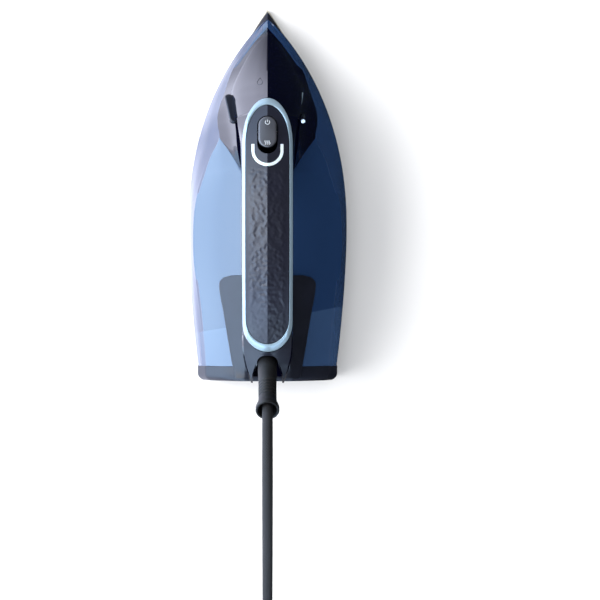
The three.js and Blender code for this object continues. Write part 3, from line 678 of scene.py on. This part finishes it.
skirt_edge = through([(150.8, 9.5), (144, 13), (128, 17), (100, 20.5), (60, 21.5), (-144, 21.5)])
skirt_crest = through([(150.8, 10), (147, 14), (141.5, 21.5), (134, 23.5), (-144, 23.5)])


def skirt_profile(y):
    half = max(skirt_half(y), 0.3)
    foot = max(half - 1.0, half * 0.8)
    edge, crest = skirt_edge(y), skirt_crest(y)
    return section([(0, 5.8), (foot, 5.8)], [(foot, 5.8), (half, 8.0), (half, edge)],
                   [(half, edge), (half * 0.5, edge + (crest - edge) * 0.55), (0, crest)])


def skirt_inside(y):
    half = max(skirt_half(y) - 2.4, 0.2)
    ceiling = skirt_edge(y) - 1.8
    return [(0, 5.0), (half, 5.0), (half, ceiling), (0, ceiling + 0.2)]


piece("skirt_body", loft(spread(151.7, -144, 1.8), skirt_profile), "skirt", ["skirt"],
      cuts=[loft(spread(136, -141, 6), skirt_inside)])


# ---------------------------------------------------------------- water tank
def tank_profile(y, inset=0.0):
    """Section of the tank; an inset gives the space inside it."""
    half = max(tank_half(y) - inset, 0.35)
    shoulder = min(max(shoulder_half(y) - inset, 0.25), half - 0.06)
    foot = min(max(foot_half(y) - inset * 0.6, 0.18), shoulder - 0.04)
    low = TANK_BOTTOM - (3 if inset else 0)
    heel = max(half - 1.6, half * 0.8)
    edge, top = shoulder_height(y) - inset, foot_height(y) - inset
    crown = edge + (top - edge) * 0.62
    side = ((half + shoulder) / 2 + (half - shoulder) * 0.06, (TANK_BULGE + edge) / 2 + 0.8)
    return section([(0, low), (heel, low)], [(heel, low), (half - 0.2, low + 5), (half, TANK_BULGE)],
                   [(half, TANK_BULGE), side, (shoulder, edge)],
                   [(shoulder, edge), ((shoulder + foot) / 2, crown), (foot, top)],
                   [(foot, top), (0, top + 0.2)])


def inlet_bore(top):
    """The filling hole, from inside the tank up to a height."""
    return rod(INLET["radius"], (0, INLET["y"], 40), (0, INLET["y"], top), 40)


tank_inside = loft(spread(137, -140, 3), lambda y: tank_profile(y, 2.4))
piece("water_tank", loft(spread(141.3, TANK_REAR, 1.7), tank_profile), "tank", ["tank_shell"], edge=0.4,
      cuts=[tank_inside, inlet_bore(72)])


# ---------------------------------------------------------------- collar and nose door
def collar_profile(y):
    foot, low = foot_half(y), foot_height(y) + GAP
    top = max(collar_top(y) - GAP, low + 0.6)
    brow = min(door_half(y), foot - 0.1)
    flare = 0.42 if y < 75 else 0.5
    waist = (brow + (foot - brow) * flare, low + (top - low) * 0.5)
    return section([(0, low), (foot, low)], [(foot, low), waist, (brow, top)], [(brow, top), (0, top)])


collar_ys = spread(134, 53.1, 1.3) + spread(52.9, 13, 1.3)
piece("collar_body", loft(collar_ys, collar_profile), "navy", ["collar"], cuts=[inlet_bore(90)])

roof_share = through([(0, 1), (0.12, 0.945), (0.36, 0.8), (0.7, 0.5), (0.93, 0.2), (1, 0.02)])
DOOR_SHARES = [1 - (i / 22) ** 1.2 for i in range(23)]


def door_height(x, y):
    rim = rim_height(y)
    return rim + (ridge_height(y) - rim) * roof_share(min(abs(x) / max(door_half(y), 0.3), 1))


def door_profile(y):
    half = max(door_half(y), 0.3)
    rim = rim_height(y)
    roof = [(half * share, door_height(half * share, y)) for share in DOOR_SHARES]
    return [(0, rim), (half * 0.5, rim), (half, rim)] + roof


def door_inside(y):
    half = max(door_half(y) - 2.6, 0.2)
    rim = rim_height(y)
    ridge = max(ridge_height(y) - 4, rim + 0.5)
    roof = [(half * share, rim + (ridge - rim) * roof_share(share)) for share in DOOR_SHARES]
    return [(0, rim - 4), (half, rim - 4)] + roof


def behind_door(grow):
    """Plan outline of everything behind the door's rear edge, along the ring and the handle's post."""
    side = [(slot_half(y, RING, grow), y) for y in spread(RING["front"] + grow, 56, 0.6)]
    side += [(24.6, 52.6 + grow), (40, 52.6 + grow), (40, 20)]
    return side + [(-x, y) for x, y in reversed(side)]


piece("nose_door", loft(spread(130, 50, 1.0), door_profile), "navy", ["filling_door"], "filling_door",
      edge=0.3, angle=35, cuts=[loft(spread(124, 49, 3), door_inside), prism(behind_door(0.5), 40, 160)])

DROP = [(0, 3.4), (-0.9, 1.9), (-1.8, 0.3), (-2.1, -1.0), (-1.6, -2.3), (0, -3.0), (1.6, -2.3), (2.1, -1.0),
        (1.8, 0.3), (0.9, 1.9)]
drop_mark = ribbon(smooth([(-6 + x, 82 + y) for x, y in DROP], 3), 0.5, door_height, closed=True)
piece("water_mark", drop_mark, "cover", (), "filling_door", edge=0)
# A pale strip along the door's right rim only, standing a little proud of it: a painted highlight where the
# rim catches the light.
HIGHLIGHT_FRONT, HIGHLIGHT_REAR, HIGHLIGHT_INSET = 76, 56.5, 1.4


def highlight_height(x, y):
    return door_height(door_half(y) - HIGHLIGHT_INSET, y)


highlight_line = [(door_half(y) - HIGHLIGHT_INSET - 0.06 * (HIGHLIGHT_FRONT - y), y)
             for y in spread(HIGHLIGHT_FRONT, HIGHLIGHT_REAR, 1.0)]
piece("door_edge_painted_highlight", ribbon(highlight_line, 1.1, highlight_height, 0.3), "ring", (), "filling_door", edge=0.1)

TAB = {"x": -28.6, "y": 62, "half": 3.5, "reach": 14, "lift": 0.6, "turn": 0.19}


def tab_top(x, y):
    return 5.2 - 0.01 * y * y - 0.12 * x


tab = cushion(lambda inset: slot_plan(TAB["half"], TAB["reach"], -TAB["reach"], inset), lambda x, y: 0,
              tab_top, 1.3, 3.4)
tab_place = (Matrix.Translation((TAB["x"], TAB["y"], rim_height(TAB["y"]) + TAB["lift"]))
             @ Matrix.Rotation(-math.atan(RIM_SLOPE), 4, "X") @ Matrix.Rotation(TAB["turn"], 4, "Z"))
piece("door_finger_tab", moved(tab, tab_place), "cover", ["door_tab"], "filling_door", edge=0)


# ---------------------------------------------------------------- handle
under_round = through([(8, 0.25), (1, 1), (-90, 1), (-99, 0.25)])


def handle_profile(y):
    half = handle_half(y)
    edge = min(max(slot_half(y, RING) - 0.4, 0.6), half - 0.1)
    sunk = 0 if y < RING["rear"] - 0.5 else GRIP_SEAT
    top, brow = roof_height(0, y) - sunk, roof_height(edge, y) - sunk
    under = min(underside(y), brow - 12)
    curl = min(8, (brow - under) * 0.3)
    open_share = under_round(y)
    low, flank = (half - curl * open_share, under), (half, brow - 9)
    return section([(0, under), low], [low, (half - 1.2 * open_share, under + curl), flank],
                   [flank, ((half + edge) / 2 + 0.3, brow - 4.5), (edge, brow)],
                   [(edge, brow), (edge * 0.5, (top + brow) / 2), (0, top)])


def trigger_side(grow=0.0):
    """Side view of the trigger; growing it gives the room that it moves in."""
    curve = smooth([(24 + grow, 113 - grow), (18, 107.4 - grow), (10.5, 105 - grow), (3, 107.8 - grow),
                    (-4, 111.5 - grow), (-12 - grow, 116 - grow)], 4)
    return curve + [(-12 - grow, 116 - grow), (-12 - grow, 124 + grow), (24 + grow, 124 + grow)]


def arch(grow=0.0, steps=40):
    """Plan outline of the opening in the handle's rear end, where the guard sits."""
    half, depth = FORK["half"] + grow, FORK["depth"] + grow
    bend = [(half * math.cos(math.pi * i / steps), FORK["centre"] + depth * math.sin(math.pi * i / steps))
            for i in range(steps + 1)]
    return [(half, FORK["open"])] + bend + [(-half, FORK["open"])]


arch_cut = prism(arch(), FORK["floor"], 150)
fork_floor = sideways([(-146.4, 40), (-146.4, 86), (-149, 91), (-170, 91), (-170, 40)], 40)
sleeve_sweeps = [along_guard(rod(8.2, (0, 0, 0), (0, 0, 60), 32), turn) for turn in (-0.6, -0.3, 0, 0.11)]
button_well = prism(slot_plan(BUTTON["half"] + BUTTON["well_gap"], BUTTON["front"] + BUTTON["well_gap"],
                              BUTTON["well_rear"]), 126, 165)
handle_ys = (spread(66.4, 53.1, 1.3) + spread(52.9, 13.1, 1.6) + spread(12.9, -102.9, 1.6) +
             spread(-103.1, -129.1, 1.6) + spread(-129.3, -153.6, 1.2))
piece("handle_shell", loft(handle_ys, handle_profile), "navy", ["handle_body"], edge=0.45, angle=32,
      cuts=[arch_cut, fork_floor, *sleeve_sweeps, ball(10.1, PIVOT_PLACE), button_well,
            sideways(trigger_side(1.2), 8), sideways([(-16, 121), (28, 121), (28, 135), (-16, 135)], 8)])


def slot_loop(slot, grow=0.0, bend_steps=64, side_steps=70):
    """Plan points in order round a slot: front bend, left side, rear bend, right side."""
    half = slot["half"] + grow

    def bend(middle, end, start):
        return [(half * math.cos(start + math.pi * i / bend_steps),
                 middle + abs(math.sin(start + math.pi * i / bend_steps)) * (end - middle))
                for i in range(bend_steps + 1)]

    front, rear = slot["front_bend"], slot["rear_bend"]
    left = [(-half, front + (rear - front) * i / side_steps) for i in range(1, side_steps)]
    right = [(half, y) for _, y in reversed(left)]
    return bend(front, slot["front"] + grow, 0) + left + bend(rear, slot["rear"] - grow, math.pi) + right


def tail_profile(y):
    """Section of a thin plate that lies on the handle's roof behind the ring."""
    half = handle_half(y) - 1.1
    below, above = -1, 0.25
    return [(0, roof_height(0, y) + below), (half, roof_height(half, y) + below),
            (half, roof_height(half, y) + above), (half * 0.5, roof_height(half * 0.5, y) + above),
            (0, roof_height(0, y) + above)]


piece("handle_tail_plate", loft(spread(-112, -153, 1.2), tail_profile), "cover", edge=0.15,
      cuts=[prism(slot_loop(RING, 0.45), 90, 150), prism(arch(0.9), 90, 150), *sleeve_sweeps])


def soft_roof(x, y):
    """The roof of the handle with its ridge rounded off."""
    return roof_height(x, y) + 0.3 * (abs(x) - math.hypot(x, 4.0)) + 0.6


RING_SECTION = ((0, -RING["thick"]), (0, -0.35), (0.03, -0.1), (0.1, 0.1), (0.33, 0.5), (0.42, 0.55),
                (0.5, 0.5), (0.9, 0.12), (0.97, -0.1), (1, -0.4), (1, -RING["thick"]))
ring_verts = []
for (xi, yi), (xo, yo) in zip(slot_loop(GRIP, GAP), slot_loop(RING)):
    inner, outer = soft_roof(xi, yi), soft_roof(xo, yo)
    for share, lift in RING_SECTION:
        height = inner + (outer - inner) * share + lift
        ring_verts.append((xi + (xo - xi) * share, yi + (yo - yi) * share, height))
ring_faces = grid_faces(len(ring_verts) // len(RING_SECTION), len(RING_SECTION), closed_run=True)
piece("trim_ring", (ring_verts, ring_faces), "ring", ["handle_ring"], edge=0)

TRIANGLE = 2.1
RELIEF = 0.5
GRIP_COLUMNS = 46


def knot(column, row):
    """An even scatter from 0 to 1 over the corners of the triangles."""
    seed = math.sin(column * 12.9898 + row * 78.233) * 43758.5453
    return seed - math.floor(seed)


def relief(x, y):
    """Flat triangles between corners of uneven height, fading out at the edges and the smooth front."""
    row = y / (TRIANGLE * math.sqrt(3) / 2)
    column = x / TRIANGLE - row / 2
    a, b = math.floor(column), math.floor(row)
    u, v = column - a, row - b
    if u + v > 1:
        height = knot(a + 1, b + 1) * (u + v - 1) + knot(a, b + 1) * (1 - u) + knot(a + 1, b) * (1 - v)
    else:
        height = knot(a, b) * (1 - u - v) + knot(a + 1, b) * u + knot(a, b + 1) * v
    fade = max(0.0, min(1.0, (14.6 - x) / 3.0)) * max(0.0, min(1.0, (13 - y) / 7))
    return RELIEF * fade * height


def grip_profile(y):
    half = max(slot_half(y, GRIP), 0.3)
    base = roof_height(half, y) - GRIP["thick"]
    across = [half * (1 - i / GRIP_COLUMNS) for i in range(GRIP_COLUMNS + 1)]
    return [(0, base), (half, base)] + [(x, roof_height(x, y) + relief(x, y)) for x in across]


def light_path(steps=48):
    """The U of the status light in plan, from the top of its left leg to the top of its right one."""
    radius = LIGHT["radius"]
    bend = [(-radius * math.cos(math.pi * i / steps), LIGHT["y"] - radius * math.sin(math.pi * i / steps))
            for i in range(1, steps)]
    left = [(-radius, y) for y in spread(LIGHT["legs"], LIGHT["y"], 1.0)]
    return left + bend + [(-x, y) for x, y in reversed(left)]


light_recess = ribbon(light_path(), LIGHT["width"] + 0.4, roof_height, 8, 2.2)
piece("soft_grip", loft(spread(60.5, -122.1, 0.42), grip_profile), "grip", ["grip_pad"], edge=0,
      cuts=[button_well, light_recess])
piece("light_strip", ribbon(light_path(), LIGHT["width"], roof_height, 0.1, 2.0), "light",
      ["status_light"], edge=0.15)


def rocker_top(x, y):
    return roof_height(0, y) + 1.6 + (BUTTON["front"] - y) * 0.03 - 0.016 * x * x


rocker = cushion(lambda d: slot_plan(BUTTON["half"], BUTTON["front"], BUTTON["rear"], d),
                 lambda x, y: roof_height(0, y) - BUTTON["tall"], rocker_top, 1.3, 6.8)
piece("rocker_cap", rocker, "button", ["mode_rocker"], "mode_rocker", edge=0)
MARK_WIDTH = 0.42
power_arc = [(1.7 * math.sin(a), 46.3 + 1.7 * math.cos(a)) for a in spread(0.7, 2 * math.pi - 0.7, 0.25)]
power_stroke = [(0, 46.4), (0, 47.4), (0, 48.4)]
power = joined(*(ribbon(line, MARK_WIDTH, rocker_top) for line in (power_arc, power_stroke)))
piece("power_mark", power, "light", (), "mode_rocker", edge=0)
wisps = [ribbon([(x + 0.45 * math.sin(2.1 * (y - 29)), y) for y in spread(31.8, 28.6, 0.2)],
                MARK_WIDTH, rocker_top) for x in (-1.5, 0, 1.5)]
piece("steam_mark", joined(*wisps), "light", (), "mode_rocker", edge=0)

piece("trigger_lever", sideways(trigger_side(), 7), "button", ["steam_trigger"], "steam_trigger",
      edge=1.1, angle=40)


# ---------------------------------------------------------------- rear cover and heel
def tank_top(x, y):
    """Height of the tank's top, between its shoulder and the foot of the handle."""
    y = max(y, TANK_REAR)
    shoulder, foot = shoulder_half(y), foot_half(y)
    edge, top = shoulder_height(y), foot_height(y)
    middle, crown = (shoulder + foot) / 2, edge + (top - edge) * 0.62
    if x <= foot:
        return top
    if x <= middle:
        return top + (crown - top) * ((x - foot) / (middle - foot))
    return crown + (edge - crown) * ((x - middle) / (shoulder - middle))


def cover_profile(y):
    half = cover_half(y)
    middle = 20 + (half - 20) * 0.55
    low = [(x, tank_top(x, y) + 0.8) for x in (0, 20, middle, half)]
    edge = low[-1][1]
    return section(low[:2], low[1:], [(half, edge), (half, edge + 1.2)],
                   [(half, edge + 1.2), (half - 0.25, edge + 1.75), (half - 0.9, edge + 2.1)],
                   [(half - 0.9, edge + 2.1), (18, cover_top(y))], [(18, cover_top(y)), (0, cover_top(y))])


cover_ys = ([-69, -69.2, -69.6, -70.2, -71, -72, -73.5, -75, -77] + spread(-79, -136.9, 2) +
            spread(-137.1, -151.5, 1.6))
piece("tank_cover", loft(cover_ys, cover_profile), "cover", ["rear_cover"], edge=0.2)


def heel_profile(y):
    behind = max(0, (-146 - y) / 8)
    lip = 0.5 * min(1.0, (-142 - y) / 0.6)
    half = tank_half(TANK_REAR) + lip - 4.2 * behind ** 4
    share = half / tank_half(TANK_REAR)
    shoulder, foot = shoulder_half(TANK_REAR) * share, foot_half(TANK_REAR) * share
    at = max(y, TANK_REAR)
    edge, top = shoulder_height(at) + lip, foot_height(at) + lip
    crown = edge + (top - edge) * 0.62
    drop = 1.8 * behind ** 2
    return section([(0, 8), (half - 2, 8)], [(half - 2, 8), (half, 11), (half, TANK_BULGE)],
                   [(half, TANK_BULGE), (shoulder, edge - drop)],
                   [(shoulder, edge - drop), ((shoulder + foot) / 2, crown - drop), (foot, top - drop)],
                   [(foot, top - drop), (0, top - drop)])


screw_wells = [rod(3.4, (x, -150, SCREW["z"]), (x, -158, SCREW["z"]), 32) for x in (-SCREW["x"], SCREW["x"])]
heel_ys = [-142.1, -142.3, -142.6, -144, -145.9, -147, -148, -149, -150, -151, -151.8, -152.5, -153.1,
           -153.6, -154]
piece("heel_block", loft(heel_ys, heel_profile), "cover", ["heel_rest"], edge=0.5, cuts=screw_wells)


def screw_slot(x, half_wide, half_tall):
    """One arm of the cross in a screw's head."""
    low, high = SCREW["z"] - half_tall, SCREW["z"] + half_tall
    verts, faces = sideways([(-154.5, low), (-153.1, low), (-153.1, high), (-154.5, high)], half_wide)
    return [(across + x, y, z) for across, y, z in verts], faces


for side, x in (("left", -SCREW["x"]), ("right", SCREW["x"])):
    head = moved(turned([(0.01, 0), (3, 0), (3, 0.5), (2.4, 1.1), (0.01, 1.3)], 40),
                 Matrix.Translation((x, -152.4, SCREW["z"])) @ Matrix.Rotation(math.pi / 2, 4, "X"))
    piece(f"screw_{side}", head, "steel", [f"heel_screw_{side}"], edge=0.1,
          cuts=[screw_slot(x, 0.35, 2), screw_slot(x, 2, 0.35)])


# ---------------------------------------------------------------- cord guard and plug
def guard_profile():
    """The guard's (radius, z) outline, with five grooves and a flared mouth."""
    outer = [(4.4, 0.5), (7.4, 0.5), (7.4, 20), (7.2, 26), (6.95, 32)]
    for z in (36, 39.6, 43.2, 46.8, 50.4):
        outer += [(6.9, z), (6.75, z + 0.15), (6.1, z + 0.45), (6.1, z + 1.5), (6.75, z + 1.8),
                  (6.9, z + 1.95)]
    outer += [(6.95, 55), (7.5, 58.5), (8.5, 61.6), (8.95, 63.4), (9.0, 66.1), (8.8, 66.7), (8.5, 66.8)]
    return outer + [(7.5, 66.8), (7.2, 66.4), (6.6, 61.5), (5.4, 57.5), (4.4, 55)]


TRUNNION_REACH = 12.5
trunnions = rod(3, (-TRUNNION_REACH, GUARD["y"], GUARD["z"]), (TRUNNION_REACH, GUARD["y"], GUARD["z"]), 24)
guard_shape = joined(along_guard(turned(guard_profile(), 64)), trunnions, ball(9.4, PIVOT_PLACE))
piece("cord_sleeve", guard_shape, "rubber", ["cord_guard"], "cord_guard", edge=0)

PLUG_PLACE = (Matrix.Translation((-20.3, -498.4, 17.5)) @ Matrix.Rotation(-0.2, 4, "Z")
              @ Matrix.Rotation(math.pi / 2, 4, "X"))
PIN_X = 9.5
plug_outline = [(4.3, 0), (5.0, 0.4), (5.4, 1.2)]
for z in (4, 7, 10, 13, 16, 19):
    groove = 5.0 + z * 0.09
    plug_outline += [(groove + 0.5, z), (groove, z + 0.4), (groove, z + 1.2), (groove + 0.6, z + 1.6)]
plug_outline += [(8.5, 24), (11.5, 27.5), (15.2, 31.2), (17.2, 34.5), (17.5, 37)]
plug_outline += [(17.5, 42), (17.1, 43), (17.1, 45), (17.5, 46), (17.1, 47), (17.1, 49), (17.5, 50)]
plug_outline += [(17.5, 59.5), (17.1, 61.2), (16, 62), (0.01, 62), (0.01, 8), (4.3, 8)]
pin_holes = [moved(rod(2.7, (x, 0, 52), (x, 0, 70), 24), PLUG_PLACE) for x in (-PIN_X, PIN_X)]
piece("plug_shell", moved(turned(plug_outline, 64), PLUG_PLACE), "rubber", ["plug_body"], edge=0,
      cuts=pin_holes)
pin_outline = [(0.01, 0), (2.4, 0), (2.4, 26.4), (2.1, 27.4), (1.4, 28), (0.01, 28)]
for number, x in ((1, -PIN_X), (2, PIN_X)):
    place = PLUG_PLACE @ Matrix.Translation((x, 0, 53))
    piece(f"contact_{number}", moved(turned(pin_outline, 32), place), "brass", [f"plug_pin_{number}"], edge=0)


# ---------------------------------------------------------------- mains lead, in metres
CORD_RADIUS = 0.004
PIVOT = Vector((0.0, GUARD["y"] * MM, GUARD["z"] * MM))
ALONG_GUARD = Vector((0.0, -math.cos(GUARD["lift"]), math.sin(GUARD["lift"])))
LEAD_END = 0.078
LEAD_REACHES = (0.045, 0.052, 0.06, 0.069, LEAD_END)
RUN = [
    (0, -0.186, 0.178), (0, -0.198, 0.1872), (0, -0.212, 0.1906), (0, -0.228, 0.1884), (0, -0.246, 0.1798),
    (0, -0.264, 0.1654), (0, -0.281, 0.147), (0, -0.297, 0.1258), (0, -0.312, 0.1036), (0, -0.326, 0.0826),
    (0, -0.340, 0.064), (0, -0.355, 0.0485), (0, -0.370, 0.0386), (0, -0.384, 0.0338)]
TAIL = [
    (-0.008, -0.405, 0.0366), (-0.008, -0.412, 0.0385), (-0.008, -0.419, 0.0404), (-0.0083, -0.426, 0.041),
    (-0.0092, -0.437, 0.0397), (-0.0107, -0.448, 0.0358), (-0.0126, -0.459, 0.0293),
    (-0.0147, -0.470, 0.0227),
    (-0.0168, -0.481, 0.0188), (-0.019, -0.492, 0.0175), (-0.0202, -0.498, 0.0175)]
COIL_CENTRE = (-0.050, -0.398)
COIL_OUTER, COIL_INNER = 0.050, 0.042
COIL_START_HEIGHT, COIL_TOP = 0.0324, 0.036
OUTER_TURNS, SHIFT_TURNS, INNER_TURNS = 3.2, 0.14, 3.66
TURN_POINTS = 24


def coil_points():
    """The wound part: down the outer column of turns, across at the bottom, and up the inner column."""
    total = OUTER_TURNS + SHIFT_TURNS + INNER_TURNS
    points = []
    for i in range(round(total * TURN_POINTS) + 1):
        turns = min(i / TURN_POINTS, total)
        if turns <= OUTER_TURNS:
            radius = COIL_OUTER
            height = COIL_START_HEIGHT + (CORD_RADIUS - COIL_START_HEIGHT) * turns / OUTER_TURNS
        elif turns <= OUTER_TURNS + SHIFT_TURNS:
            part = (turns - OUTER_TURNS) / SHIFT_TURNS
            radius = COIL_OUTER + (COIL_INNER - COIL_OUTER) * part * part * (3 - 2 * part)
            height = CORD_RADIUS
        else:
            radius = COIL_INNER
            risen = turns - OUTER_TURNS - SHIFT_TURNS
            height = CORD_RADIUS + (COIL_TOP - CORD_RADIUS) * risen / INNER_TURNS
        angle = -2 * math.pi * turns
        points.append((COIL_CENTRE[0] + radius * math.cos(angle), COIL_CENTRE[1] + radius * math.sin(angle),
                       height))
    return points


def resampled(points, step):
    """Points a step apart on a smooth curve through the given ones."""
    dense = [Vector(p) for p in smooth([tuple(p) for p in points], 12)] + [Vector(points[-1])]
    out, gone = [dense[0]], 0.0
    for a, b in zip(dense, dense[1:]):
        length = (b - a).length
        while gone + length >= step:
            share = (step - gone) / length
            a = a.lerp(b, share)
            out.append(a.copy())
            length = (b - a).length
            gone = 0.0
        gone += length
    return out + [dense[-1]]


def tube_mesh(name, path, radius, sides):
    """A closed tube whose rings follow the path without twist, with a UV that counts lengths of girth."""
    last = len(path) - 1
    tangents = [(path[min(i + 1, last)] - path[max(i - 1, 0)]).normalized() for i in range(len(path))]
    side = Vector((1, 0, 0))
    verts, lengths, gone = [], [], 0.0
    for i, (point, tangent) in enumerate(zip(path, tangents)):
        gone += (point - path[i - 1]).length if i else 0.0
        lengths.append(gone / (2 * math.pi * radius))
        side = (side - tangent * side.dot(tangent)).normalized()
        up = tangent.cross(side)
        for k in range(sides):
            angle = 2 * math.pi * k / sides
            verts.append(point + radius * (side * math.cos(angle) + up * math.sin(angle)))
    mesh = bpy.data.meshes.new(name)
    faces = grid_faces(len(path), sides)
    caps = [tuple(range(sides)), tuple(len(verts) - sides + k for k in range(sides))]
    mesh.from_pydata([tuple(v) for v in verts], [], faces + caps)
    uv = mesh.uv_layers.new(name="UVMap")
    for polygon in mesh.polygons[:len(faces)]:
        wraps = polygon.index % sides == sides - 1
        for loop in polygon.loop_indices:
            ring, k = divmod(mesh.loops[loop].vertex_index, sides)
            uv.data[loop].uv = ((sides if wraps and k == 0 else k) / sides, lengths[ring])
    work = bmesh.new()
    work.from_mesh(mesh)
    bmesh.ops.recalc_face_normals(work, faces=work.faces)
    work.to_mesh(mesh)
    work.free()
    mesh.shade_smooth()
    return mesh


route = [PIVOT + ALONG_GUARD * reach for reach in LEAD_REACHES] + RUN + coil_points() + TAIL
cord_path = resampled(route, 0.002)
cord = new_object("mains_lead", tube_mesh("mains_lead", cord_path, CORD_RADIUS, 16), None,
                  ("cord_lead", "cord_run", "cord_coil", "cord_tail"))
finish_piece(cord, "braid")
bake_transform(cord)


# ---------------------------------------------------------------- scene around the iron, in metres
FLOOR_HALF = 4.0
floor_mesh = bpy.data.meshes.new("floor")
floor_corners = [(x * FLOOR_HALF, y * FLOOR_HALF, 0) for x, y in ((-1, -1), (1, -1), (1, 1), (-1, 1))]
floor_mesh.from_pydata(floor_corners, [], [(0, 1, 2, 3)])
floor = bpy.data.objects.new("floor", floor_mesh)
bpy.context.scene.collection.objects.link(floor)
floor_mesh.materials.append(shader("floor_paint", (0.93, 0.93, 0.935), 0.9)[0])


def softbox(name, place, target, size, power):
    """A rectangular area light aimed at a point."""
    data = bpy.data.lights.new(name, "AREA")
    data.shape = "RECTANGLE"
    data.size, data.size_y = size
    data.energy = power
    light = bpy.data.objects.new(name, data)
    light.location = place
    light.rotation_euler = (Vector(target) - Vector(place)).to_track_quat("-Z", "Y").to_euler()
    bpy.context.scene.collection.objects.link(light)
    return light


WALL_TINT = (0.57, 0.76, 1.0)
FLOOR_TINT = (0.78, 0.81, 1.0)


def reflector(name, corners, strengths, color, steps=8):
    """A glowing card that only polished surfaces see, its strength blended between its four corners."""
    mesh = bpy.data.meshes.new(name)
    verts, glow = [], []
    for i in range(steps + 1):
        for k in range(steps + 1):
            u, v = i / steps, k / steps
            weights = ((1 - u) * (1 - v), u * (1 - v), u * v, (1 - u) * v)
            verts.append(tuple(sum(w * corner[axis] for w, corner in zip(weights, corners))
                               for axis in range(3)))
            glow.append(sum(w * strength for w, strength in zip(weights, strengths)))
    mesh.from_pydata(verts, [], grid_faces(steps + 1, steps + 1, closed_rings=False))
    layer = mesh.color_attributes.new(name="glow", type="FLOAT_COLOR", domain="POINT")
    for value, point in zip(glow, layer.data):
        point.color = (value, value, value, 1)
    card = bpy.data.objects.new(name, mesh)
    bpy.context.scene.collection.objects.link(card)
    material, tree, principled = shader(name, (0, 0, 0), 1.0, Specular_IOR_Level=0.0)
    principled.inputs["Emission Color"].default_value = (*color, 1.0)
    strength = tree.nodes.new("ShaderNodeAttribute")
    strength.attribute_name = "glow"
    tree.links.new(strength.outputs["Fac"], principled.inputs["Emission Strength"])
    mesh.materials.append(material)
    card.visible_camera = False
    card.visible_diffuse = False
    card.visible_shadow = False
    card.visible_transmission = False


def wall(start, end, low, high):
    """Corners of an upright card between two plan points."""
    return [(*start, low), (*end, low), (*end, high), (*start, high)]


def lying(*plan_points):
    """Corners of a card that lies just above the floor."""
    return [(x, y, 0.001) for x, y in plan_points]


AIM = (0.0, 0.0, 0.06)
softbox("key_light", (-1.3, 0.05, 1.5), AIM, (1.9, 1.1), 54)
top_light = softbox("top_light", (-0.2, -0.1, 2.2), AIM, (2.2, 2.2), 20)
top_light.visible_glossy = False
reflector("left_card", wall((-1.0, -1.0), (-1.0, 1.1), 0, 1.3), (9.0, 9.0, 9.2, 9.2), WALL_TINT)
reflector("front_left_card", wall((-1.0, 1.1), (-0.1, 1.5), 0, 1.1), (6, 1, 0.5, 7), WALL_TINT)
reflector("rear_card", wall((-1.0, -1.0), (0.5, -1.4), 0.2, 1.0), (9, 8, 8, 8), WALL_TINT)
reflector("near_floor", lying((-0.1, -0.4), (0, -0.4), (0, 0.5), (-0.1, 0.5)),
          (3.4, 0.2, 0.1, 3.0), FLOOR_TINT)
reflector("left_floor", lying((-0.8, -0.5), (-0.1, -0.5), (-0.1, 0.5), (-0.8, 0.5)),
          (9, 3.4, 3.0, 9), FLOOR_TINT)
reflector("right_floor", lying((0, -0.5), (1.5, -0.9), (1.5, 1.5), (0, 1.5)),
          (0.03, 0.05, 0.05, 0.02), WALL_TINT)

world = bpy.data.worlds.new("world")
world.use_nodes = True
world.node_tree.nodes["Background"].inputs["Color"].default_value = (0.95, 0.97, 1.0, 1.0)
world.node_tree.nodes["Background"].inputs["Strength"].default_value = 0.50
bpy.context.scene.world = world
world.cycles_visibility.glossy = False
bpy.context.scene.view_settings.view_transform = "Standard"
